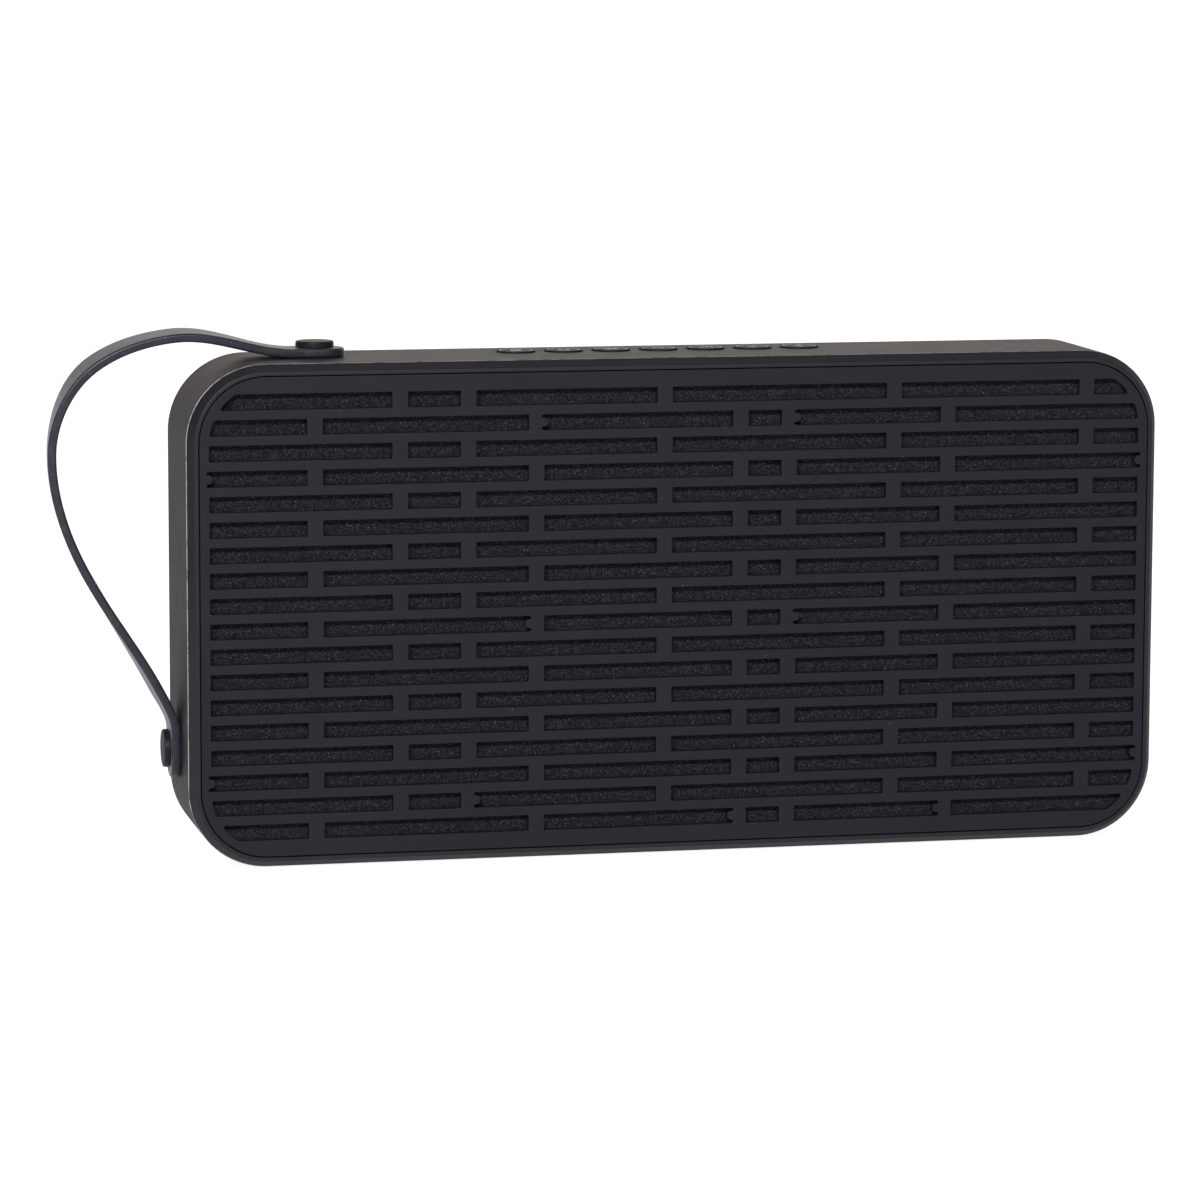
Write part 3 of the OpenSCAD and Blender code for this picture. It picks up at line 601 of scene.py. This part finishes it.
def housing_profile():
    """The case band's section, from the rear parting round the bezel and the ledge: inset, y."""
    round_start = (1.65 * MM, FRONT + 0.8 * MM)
    round_mid = (2.05 * MM, FRONT)
    round_end = (2.5 * MM, FRONT)
    seam = (CASE_W - panel_high.x + panel_low.x) / 2 - SEAM
    lip_r = 0.16 * MM
    ledge_front = FRONT + 2.65 * MM
    ledge_back = FRONT + 4.65 * MM
    ledge_in = 6.3 * MM
    profile = [(GROOVE, PARTING), (0.1 * MM, PARTING - 0.1 * MM), (0, PARTING - GROOVE)]
    # the narrow outer arris, the bezel's slope, its rounding and the flat lip
    profile += [(0, ARRIS_BACK), (ARRIS_W, ARRIS_FRONT)]
    profile += bezier(round_start, round_mid, round_mid, round_end, 6)
    profile += arc((seam - lip_r, FRONT + lip_r), lip_r, -90, 0, 3)
    profile += [(seam, ledge_front), (ledge_in, ledge_front), (ledge_in, ledge_back), (WALL, ledge_back),
                (WALL, PARTING)]
    return profile


def key_place(name):
    """The middle of a button cap's top."""
    low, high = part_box("button_" + name)
    return Vector(((low.x + high.x) / 2, (low.y + high.y) / 2, high.z))


def key_holes():
    """Cutters for the seven button holes, with a fine chamfer at the surface."""
    bm = bmesh.new()
    chamfer = 0.22 * MM
    floor = TOP - 4 * MM
    profile = [(0, floor), (KEY_HOLE_R, floor), (KEY_HOLE_R, TOP - chamfer),
               (KEY_HOLE_R + 2 * chamfer, TOP + chamfer), (0, TOP + chamfer)]
    for name in KEYS:
        place = key_place(name)
        turn_lathe(bm, profile, Matrix.Translation((place.x, place.y, 0)), FINE_TURN)
    return new_object("key_holes", bm)


def port_tools():
    """The block behind the port flap, its pocket and the two socket holes."""
    gap = 0.3 * MM
    pocket_x = SIDE - 3.2 * MM
    well_x = SIDE - 5.5 * MM
    well_wall_x = SIDE - 1 * MM
    well_rim_z = 4.5 * MM
    well_front_y = flap_low.y - 2.3 * MM
    well_back_y = flap_high.y + 3.2 * MM
    pocket_back_y = flap_high.y + 1.2 * MM
    jack_hole_r = 3.3 * MM
    usb_low, usb_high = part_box("usb_port")
    jack_low, jack_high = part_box("aux_jack")
    jack_z = (jack_low.z + jack_high.z) / 2
    well = bmesh.new()
    add_box(well, (well_x, well_front_y, flap_low.z - well_rim_z),
            (well_wall_x, well_back_y, flap_high.z + well_rim_z))
    pocket = bmesh.new()
    add_box(pocket, (pocket_x, flap_low.y - gap, flap_low.z - gap),
            (SIDE + PAST, pocket_back_y, flap_high.z + gap))
    sockets = bmesh.new()
    add_box(sockets, (well_x - PAST, usb_low.y - gap, usb_low.z - gap),
            (pocket_x + PAST, usb_high.y + gap, usb_high.z + gap))
    hole = [(0, 0), (jack_hole_r, 0), (jack_hole_r, 4 * MM), (0, 4 * MM)]
    turn_lathe(sockets, hole, Matrix.Translation((well_x - PAST, 0, jack_z))
               @ Matrix.Rotation(math.pi / 2, 4, "Y"))
    return [new_object(name, bm) for name, bm in (("well", well), ("pocket", pocket), ("sockets", sockets))]


def make_housing(finishes):
    """The case band with its bezel, the block for the port and the button holes."""
    bm = bmesh.new()
    sweep_rim(bm, case_outline(), housing_profile(), on_front, True)
    shell = new_object("housing_shell", bm)
    well, pocket, sockets = port_tools()
    cut(shell, [well], "UNION")
    cut(shell, [pocket, sockets, key_holes()])
    finish_piece(shell, finishes["case_plastic"], "case", ["housing"])
    # the faces of the front arris get the painted highlight
    shell.data.materials.append(finishes["painted_arris_highlight"])
    for face in shell.data.polygons:
        if ARRIS_FRONT < face.center.y < ARRIS_BACK:
            face.material_index = 1


def make_rear_cover(finishes):
    """The rear cover: a shallow dish with a 6 mm rounded edge and eight counterbores."""
    round_r = 6 * MM
    inner_r = round_r - WALL
    bore_r = 1.5 * MM
    bore_end = 4 * MM
    head_bore_r = 3 * MM
    deep = 1.8 * MM
    chamfer = 0.2 * MM
    centre = (round_r, BACK - round_r)
    profile = arc(centre, inner_r, 90, 180, 6) + [(GROOVE, BACK - round_r)]
    profile += arc(centre, round_r, 177, 90, 16)
    bm = bmesh.new()
    sweep_rim(bm, case_outline(), profile, on_front, False)
    cover = new_object("rear_shell", bm)
    bores = bmesh.new()
    bore = [(0, bore_end), (bore_r, bore_end), (bore_r, deep), (head_bore_r, deep),
            (head_bore_r, chamfer), (head_bore_r + 2 * chamfer, -chamfer), (0, -chamfer)]
    inward = Matrix.Rotation(math.pi / 2, 4, "X")
    for x, z in screw_places():
        turn_lathe(bores, bore, Matrix.Translation(on_front(x, z, BACK)) @ inward)
    cut(cover, [new_object("bores", bores)])
    finish_piece(cover, finishes["case_plastic"], "case", ["rear_cover"])


def make_screw(length):
    """One pan-headed screw with a cross recess and a plain shank, its head's top at the origin."""
    head_t = 1.4 * MM
    head_r = 2.6 * MM
    shank_r = 1.3 * MM
    point = 1 * MM
    rim_r = 0.45 * MM
    profile = [(0, 0)] + arc((head_r - rim_r, -rim_r), rim_r, 90, 0, 4)
    profile += [(head_r, -head_t), (shank_r, -head_t), (shank_r, -length + point), (0, -length)]
    bm = bmesh.new()
    turn_lathe(bm, profile, steps=SMALL_TURN)
    screw = new_object("screw", bm)
    arm = 1.75 * MM
    half = 0.42 * MM
    deep = 1 * MM
    recess = bmesh.new()
    add_prism(recess, plus(arm, half), -deep, PAST, upright)
    cut(screw, [new_object("recess", recess)])
    return screw


def make_rear_screws(finishes):
    """The eight case screws, each stopped at its own angle."""
    low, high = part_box("rear_screws")
    screw = make_screw(high.y - low.y)
    bm = bmesh.new()
    for count, (x, z) in enumerate(screw_places()):
        angle = 0.4 + 1.1 * count
        turned = Matrix.Rotation(angle, 4, "Y") @ Matrix.Rotation(-math.pi / 2, 4, "X")
        copy = screw.data.copy()
        copy.transform(Matrix.Translation(on_front(x, z, high.y)) @ turned)
        bm.from_mesh(copy)
    bpy.data.objects.remove(screw)
    piece = new_object("rear_screw_set", bm)
    finish_piece(piece, finishes["steel"], "case", ["rear_screws"])


def make_foot(finishes):
    """The rubber foot: rounded lower edge and one moulded groove."""
    width = pad_high.x - pad_low.x
    depth = pad_high.y - pad_low.y
    edge = 0.4 * MM
    corner_r = depth / 2 - 0.01 * MM
    groove = [(2.2 * MM, 0), (2.35 * MM, 0.3 * MM), (2.85 * MM, 0.3 * MM), (3 * MM, 0)]
    profile = [(0, pad_high.z)] + arc((edge, edge), edge, 180, 270, 4) + groove + [(5 * MM, 0)]
    bm = bmesh.new()
    path = rounded_path(width, depth, corner_r, OUTLINE_STEPS)
    sweep_rim(bm, path, profile, upright, False)
    piece = new_object("foot_rubber", bm)
    finish_piece(piece, finishes["rubber"], "case", ["foot_pad"])


# ---- grille ----

def clip_x(z, width=BLOCK_W, height=BLOCK_CLIP_H, radius=BLOCK_R):
    """How far a rounded rectangle reaches from the middle at height z: the slotted block by default."""
    above = max(0, abs(z) - (height / 2 - radius))
    return width / 2 - radius + math.sqrt(max(0, radius ** 2 - above ** 2))


def slot_end(row, place, side):
    """One end of a slot, bottom to top. side is 1 where the slot lies to the right of the end."""
    z = ((ROWS + 1) / 2 - row) * ROW_PITCH
    x = place * MM - BLOCK_W / 2
    if (row, place, side) in POSTS:
        # a post stands in this end, in a slot a little longer than the others
        reach = POST_BITE - POST_BACK
        half = math.degrees(math.acos(-reach / POST_R))
        notch = [(x - side * POST_BACK + side * px, z + pz)
                 for px, pz in arc((0, 0), POST_R, -half, half, 12)]
        outer = x - side * POST_BITE
        return [(outer, z - SLOT_H / 2), *notch, (outer, z + SLOT_H / 2)]
    steps = 6
    heights = [z + SLOT_H * (k / steps - 0.5) for k in range(steps + 1)]
    if min(clip_x(h) for h in heights) < abs(x):
        # the block's rounded corner cuts this end
        reaches = [min(abs(x), clip_x(h)) for h in heights]
        tip = 0 if z > 0 else -1
        if reaches[tip] < abs(x) - SLOT_TIP:
            reaches[tip] -= SLOT_TIP
        return [(math.copysign(r, x), h) for r, h in zip(reaches, heights)]
    return [(x, heights[0]), (x, heights[-1])]


def round_corners(outline):
    """An outline whose corners are cut by short curves, wider ones in the pockets beside a post."""
    radius = 0.22 * MM
    pocket_radius = 0.7 * MM
    pocket_side = 1.6 * MM
    least_turn = math.radians(28)
    most = 0.48                     # share of a side that a corner's curve may take up
    pull = 0.6                      # how far the curve is drawn towards the corner
    rounded = []
    for k, corner in enumerate(outline):
        corner = Vector(corner)
        before = Vector(outline[k - 1]) - corner
        after = Vector(outline[(k + 1) % len(outline)]) - corner
        if math.pi - before.angle(after) < least_turn:
            rounded.append(tuple(corner))
            continue
        pocket = min(before.length, after.length) < pocket_side < max(before.length, after.length)
        reach = pocket_radius if pocket else radius
        start = corner + before.normalized() * min(reach, before.length * most)
        end = corner + after.normalized() * min(reach, after.length * most)
        rounded += bezier(start, start.lerp(corner, pull), end.lerp(corner, pull), end, 5)
    return rounded


def slot_outlines():
    """Every slot of the grille, anticlockwise."""
    outlines = []
    for row in range(1, ROWS + 1):
        webs = WEBS_ODD if row % 2 else WEBS_EVEN
        starts = [0] + [round(web + WEB_W / MM / 2, 2) for web in webs]
        ends = [round(web - WEB_W / MM / 2, 2) for web in webs] + [round(BLOCK_W / MM, 2)]
        for start, end in zip(starts, ends):
            left = slot_end(row, nearest_post(row, start, 1), 1)
            right = slot_end(row, nearest_post(row, end, -1), -1)
            outlines.append(round_corners(right + left[::-1]))
    return outlines


def nearest_post(row, place, side):
    """The post's own place where one shows at this slot end, and otherwise the place itself."""
    near = 0.5                      # mm
    for post_row, post_place, post_side in POSTS:
        if (post_row, post_side) == (row, side) and abs(post_place - place) < near:
            return post_place
    return place


def make_panel(finishes):
    """The slotted panel: its outline and slots fill one flat curve, with rounded edges."""
    width = panel_high.x - panel_low.x
    height = panel_high.z - panel_low.z
    thick = panel_high.y - panel_low.y
    edge = 0.2 * MM
    radius = CORNER_R - (CASE_W - width) / 2
    curve = bpy.data.curves.new("panel_outline", "CURVE")
    curve.dimensions = "2D"
    curve.fill_mode = "BOTH"
    curve.extrude = thick / 2 - edge
    curve.bevel_depth = edge
    curve.bevel_resolution = 2
    curve.offset = -edge
    outline = [tuple(point) for point, normal in rounded_path(width, height, radius, OUTLINE_STEPS)]
    for points in [outline] + slot_outlines():
        spline = curve.splines.new("POLY")
        spline.points.add(len(points) - 1)
        for target, (x, y) in zip(spline.points, points):
            target.co = (x, y, 0, 1)
        spline.use_cyclic_u = True
    flat = bpy.data.objects.new("flat_panel", curve)
    bpy.context.scene.collection.objects.link(flat)
    bpy.context.view_layer.update()
    data = bpy.data.meshes.new_from_object(flat.evaluated_get(bpy.context.evaluated_depsgraph_get()))
    bpy.data.objects.remove(flat)
    middle = Vector((0, (panel_low.y + panel_high.y) / 2, MID_Z))
    data.transform(Matrix.Translation(middle) @ Matrix.Rotation(math.pi / 2, 4, "X"))
    bm = bmesh.new()
    bm.from_mesh(data)
    panel = new_object("grille_panel", bm)
    finish_piece(panel, finishes["grille_plastic"], "case", ["front_grille"])


def make_foam(finishes):
    """The foam sheet: its front is a fine grid of soft lumps and pits."""
    spacing = 0.7 * MM
    lump = 0.3 * MM
    fine_size = 1.5 * MM
    broad_size = 9 * MM
    width = foam_high.x - foam_low.x + FOAM_GROW
    height = foam_high.z - foam_low.z + FOAM_GROW
    radius = CORNER_R - (CASE_W - width) / 2
    columns = round(width / spacing)
    rows = round(height / spacing)
    bm = bmesh.new()
    grid = []
    for r in range(rows + 1):
        z = height * (r / rows - 0.5)
        reach = clip_x(z, width, height, radius)
        line = []
        for c in range(columns + 1):
            x = reach * (2 * c / columns - 1)
            fine = noise.noise(Vector((x, 0, z)) / fine_size)
            broad = noise.noise(Vector((x, 5, z)) / broad_size)
            depth = lump * min(1, max(0, 0.5 + 0.75 * fine + 0.15 * broad))
            rim = r in (0, rows) or c in (0, columns)
            line.append(bm.verts.new(on_front(x, z, foam_low.y + (0 if rim else depth))))
        grid.append(line)
    for low, high in zip(grid, grid[1:]):
        for c in range(columns):
            bm.faces.new((low[c], low[c + 1], high[c + 1], high[c]))
    rim = grid[0] + [line[-1] for line in grid[1:-1]] + grid[-1][::-1] + [line[0] for line in grid[-2:0:-1]]
    back = [bm.verts.new((v.co.x, foam_high.y, v.co.z)) for v in rim]
    join_loops(bm, [rim, back])
    bm.faces.new(back)
    foam = new_object("foam_sheet", bm)
    finish_piece(foam, finishes["foam"], "case", ["grille_foam"])


# ---- strap and studs ----

def strap_line():
    """The strap's middle line, a smooth curve through its knots: close points of x, z and lean, and the
    distance along it to each."""
    steps = 24
    points = []
    for (ax, az, leave, lean_a), (bx, bz, arrive, lean_b) in zip(STRAP_KNOTS, STRAP_KNOTS[1:]):
        chord = math.dist((ax, az), (bx, bz))
        leave = math.radians(leave)
        arrive = math.radians(arrive)
        for step in range(steps):
            t = step / steps
            rise = 3 * t ** 2 - 2 * t ** 3
            going = chord * (t ** 3 - 2 * t ** 2 + t)
            coming = chord * (t ** 3 - t ** 2)
            x = (1 - rise) * ax + rise * bx + going * math.cos(leave) + coming * math.cos(arrive)
            z = (1 - rise) * az + rise * bz + going * math.sin(leave) + coming * math.sin(arrive)
            lean = (1 - rise) * lean_a + rise * lean_b
            points.append(Vector((MM * x, MM * z, math.radians(lean))))
    points.append(Vector((MM * bx, MM * bz, math.radians(lean_b))))
    distances = [0]
    for a, b in zip(points, points[1:]):
        distances.append(distances[-1] + (b - a).xy.length)
    return points, distances


def route_at(line, distance):
    """The x, z and lean of the strap's middle line at a distance along it."""
    points, distances = line
    d = min(max(distance, 0), distances[-1])
    k = min(max(bisect.bisect(distances, d) - 1, 0), len(points) - 2)
    return points[k].lerp(points[k + 1], (d - distances[k]) / (distances[k + 1] - distances[k]))


def strap_section():
    """The strap's cross-section: share of the half width, inset from the edge, height over the middle."""
    half = STRAP_T / 2
    flat = [(share / 3, STRAP_EDGE, half) for share in range(-3, 4)]
    turn = [(STRAP_EDGE * (1 - math.sin(a)), half - STRAP_EDGE * (1 - math.cos(a)))
            for a in (math.radians(22.5 * k) for k in range(1, 5))]
    outer = [(1, inset, height) for inset, height in turn]
    right = outer + [(1, inset, -height) for _, inset, height in outer[::-1]]
    top_and_right = flat + right
    return top_and_right + [(-share, inset, -height) for share, inset, height in top_and_right]


def strap_ring(bm, line, middle, angle, way):
    """One ring of the strap's vertices. Round a tip it is drawn in by its angle, and points that way."""
    span = 1 * MM
    ring = []
    for share, inset, height in strap_section():
        reach = STRAP_HALF_W - inset
        distance = middle - way * reach * math.cos(angle)
        centre = route_at(line, distance)
        heading = (route_at(line, distance + span) - route_at(line, distance - span)).xy.normalized()
        across = share * reach * math.sin(angle)
        out = height * math.cos(centre.z) + across * math.sin(centre.z)
        back = across * math.cos(centre.z) - height * math.sin(centre.z)
        place = (centre.x + out * heading.y, STRAP_MID_Y + back, centre.y - out * heading.x)
        ring.append(bm.verts.new(place))
    return ring


def make_strap(finishes):
    """The strap: its section swept along the route, with both ends rounded round their studs."""
    line = strap_line()
    spacing = 1.5 * MM
    tip_steps = 10
    start = STRAP_HALF_W
    end = line[1][-1] - STRAP_HALF_W
    count = round((end - start) / spacing)
    tip = [k / tip_steps * math.pi / 2 for k in range(tip_steps)]
    rings = [(start, angle, 1) for angle in tip]
    rings += [(start + (end - start) * k / count, math.pi / 2, 1) for k in range(count + 1)]
    rings += [(end, angle, -1) for angle in tip[::-1]]
    bm = bmesh.new()
    join_loops(bm, [strap_ring(bm, line, *ring) for ring in rings])
    bmesh.ops.remove_doubles(bm, verts=bm.verts, dist=1e-6)
    bmesh.ops.dissolve_degenerate(bm, edges=bm.edges, dist=1e-7)
    strap = new_object("strap_band", bm)
    finish_piece(strap, finishes["strap_leather"], "case", ["strap"])


def make_studs(finishes):
    """The two disc-headed studs, their heads slightly crowned with a rounded edge."""
    head_r = 5.65 * MM
    shank_r = 2 * MM
    shank_end = -6.6 * MM
    under = 2.8 * MM
    under_chamfer = 0.25 * MM
    crown = 4.8 * MM
    shoulder = crown - 0.12 * MM
    edge = 0.55 * MM
    profile = [(0, shank_end), (shank_r, shank_end), (shank_r, under), (head_r - under_chamfer, under),
               (head_r, under + under_chamfer)]
    profile += arc((head_r - edge, shoulder - edge), edge, 0, 80, 5)
    profile += [(head_r * 0.55, crown - 0.02 * MM), (0, crown)]
    top_low, top_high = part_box("strap_stud_top")
    side_low, side_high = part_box("strap_stud_side")
    x = (top_low.x + top_high.x) / 2
    y = (top_low.y + top_high.y) / 2
    z = (side_low.z + side_high.z) / 2
    places = {
        "strap_stud_top": Matrix.Translation((x, y, TOP)),
        "strap_stud_side": Matrix.Translation((-SIDE, y, z)) @ Matrix.Rotation(-math.pi / 2, 4, "Y"),
    }
    for node, matrix in places.items():
        bm = bmesh.new()
        turn_lathe(bm, profile, matrix, FINE_TURN)
        stud = new_object(node + "_disc", bm)
        finish_piece(stud, finishes["stud_metal"], "case", [node])


# ---- buttons and flap ----

def triangle(x, way):
    """A small play mark that starts at x and points right, or left for way -1."""
    return [(x, -0.75), (x + way * 1.15, 0), (x, 0.75)]


def bar(x, y, w, h):
    """A bar of a symbol, by its middle and its size."""
    return [(x - w / 2, y - h / 2), (x + w / 2, y - h / 2), (x + w / 2, y + h / 2), (x - w / 2, y + h / 2)]


def ring_part(r_in, r_out, start, end):
    """A part of a symbol's ring, between two angles in degrees."""
    return arc((0, 0), r_out, start, end, 16) + arc((0, 0), r_in, end, start, 16)


# the outlines that make up each symbol, in units of SYMBOL_X and SYMBOL_Y from the cap's middle
SYMBOLS = {
    "power": [ring_part(0.9, 1.35, 125, 415), bar(0, 0.95, 0.42, 1.2)],
    "call": [ring_part(1.05, 1.5, 205, 335), bar(-1.1, -0.25, 0.75, 0.55), bar(1.1, -0.25, 0.75, 0.55)],
    "previous": [bar(-1.45, 0, 0.3, 1.5), triangle(0, -1), triangle(1.35, -1)],
    "play": [triangle(-1.3, 1), bar(0.45, 0, 0.32, 1.5), bar(1.15, 0, 0.32, 1.5)],
    "next": [bar(1.45, 0, 0.3, 1.5), triangle(0, 1), triangle(-1.35, 1)],
    "volume_down": [bar(0, 0, 1.9, 0.36)],
    "volume_up": [plus(0.95, 0.18)],
}
SYMBOL_X = 1.3 * MM
SYMBOL_Y = 1.45 * MM


def make_button(name, finishes):
    """One button: a cap with a raised rim, its flange and stem, and its printed symbol."""
    node = "button_" + name
    low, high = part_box(node)
    place = key_place(name)
    ground = high.z - 0.07 * MM
    edge = 0.16 * MM
    flange_r = (high.x - low.x) / 2
    flange_top = TOP - WALL - 0.05 * MM
    flange_low = flange_top - 0.8 * MM
    stem_r = 1.8 * MM
    rim_out = KEY_R - 0.75 * MM
    rim_in = KEY_R - 1.1 * MM
    profile = [(0, low.z), (stem_r, low.z), (stem_r, flange_low), (flange_r, flange_low),
               (flange_r, flange_top), (KEY_R, flange_top)]
    profile += arc((KEY_R - edge, high.z - edge), edge, 0, 90, 5)
    profile += [(rim_out, high.z - 0.03 * MM), (rim_in, ground), (0, ground)]
    bm = bmesh.new()
    turn_lathe(bm, profile, Matrix.Translation((place.x, place.y, 0)), FINE_TURN)
    cap = new_object(node + "_cap", bm)
    finish_piece(cap, finishes["button_plastic"], node, [node])
    # the rim's inner slope gets the painted highlight
    cap.data.materials.append(finishes["button_rim_highlight"])
    for face in cap.data.polygons:
        if rim_in < math.dist(face.center[:2], place[:2]) < rim_out and face.center.z > TOP:
            face.material_index = 1
    make_symbol(name, place, ground, finishes)


def make_symbol(name, place, ground, finishes):
    """A button's printed symbol, on its cap's sunk ground."""
    sunk = 0.05 * MM
    raised = 0.11 * MM

    def on_cap(x, y, z):
        return Vector((place.x + SYMBOL_X * x, place.y + SYMBOL_Y * y, z))

    bm = bmesh.new()
    for outline in SYMBOLS[name]:
        add_prism(bm, outline, ground - sunk, ground + raised, on_cap)
    symbol = new_object("symbol_" + name, bm)
    finish_piece(symbol, finishes["symbol"], "button_" + name)


def make_flap(finishes):
    """The port flap: a rounded plate with a finger notch, and the barrel that its pin runs in."""
    hinge = next(joint for joint in frame["joints"] if joint["name"] == "flap_hinge")
    pin = Vector(hinge["pos_m"])
    thick = 2.1 * MM
    corner_r = 1.3 * MM
    notch_w = 1.2 * MM
    notch_half = 6 * MM
    notch_deep = 1 * MM
    barrel_r = 1.4 * MM
    web_lap = 0.5 * MM
    web_out = 0.8 * MM
    web_in = 1 * MM
    low_y = flap_low.y
    high_y = pin.y - 0.9 * MM
    middle_y = (low_y + high_y) / 2
    middle_z = (flap_low.z + flap_high.z) / 2
    height = flap_high.z - flap_low.z

    def on_side(y, z, x):
        return Vector((x, middle_y + y, middle_z + z))

    plate = bmesh.new()
    outline = [tuple(p) for p, n in rounded_path(high_y - low_y, height, corner_r, 5)]
    add_prism(plate, outline, SIDE - thick, SIDE, on_side)
    notch = bmesh.new()
    add_box(notch, (SIDE - notch_deep, low_y - PAST, middle_z - notch_half),
            (SIDE + PAST, low_y + notch_w, middle_z + notch_half))
    web = bmesh.new()
    add_box(web, (SIDE - thick, high_y - web_lap, flap_low.z + web_in),
            (pin.x + web_out, pin.y, flap_high.z - web_in))
    barrel = bmesh.new()
    turn_lathe(barrel, [(0, -height / 2), (barrel_r, -height / 2), (barrel_r, height / 2), (0, height / 2)],
               Matrix.Translation((pin.x, pin.y, middle_z)), SMALL_TURN)
    flap = new_object("port_flap_cover", plate)
    cut(flap, [new_object("notch", notch)])
    cut(flap, [new_object("web", web)], "UNION")
    cut(flap, [new_object("barrel", barrel)], "UNION")
    soften(flap, 0.22 * MM)
    finish_piece(flap, finishes["rubber"], "flap", ["port_flap"])


# ---- the other CAD nodes ----

def dress_cad_nodes(finishes):
    """Gives every CAD node the finish of its own slot in the record."""
    slots = {entry["node"]: entry["material_slot"] for entry in frame["record"]["subparts"]}
    for name, node in frame["nodes"].items():
        if node.hide_render:
            continue
        finish = finishes[slots[name]]
        if not node.material_slots:
            node.data.materials.append(finish)
        for holder in node.material_slots:
            holder.material = finish


make_camera()
make_stage()
finishes = make_finishes()
make_housing(finishes)
make_rear_cover(finishes)
make_rear_screws(finishes)
make_foot(finishes)
make_panel(finishes)
make_foam(finishes)
make_strap(finishes)
make_studs(finishes)
for key in KEYS:
    make_button(key, finishes)
make_flap(finishes)
dress_cad_nodes(finishes)
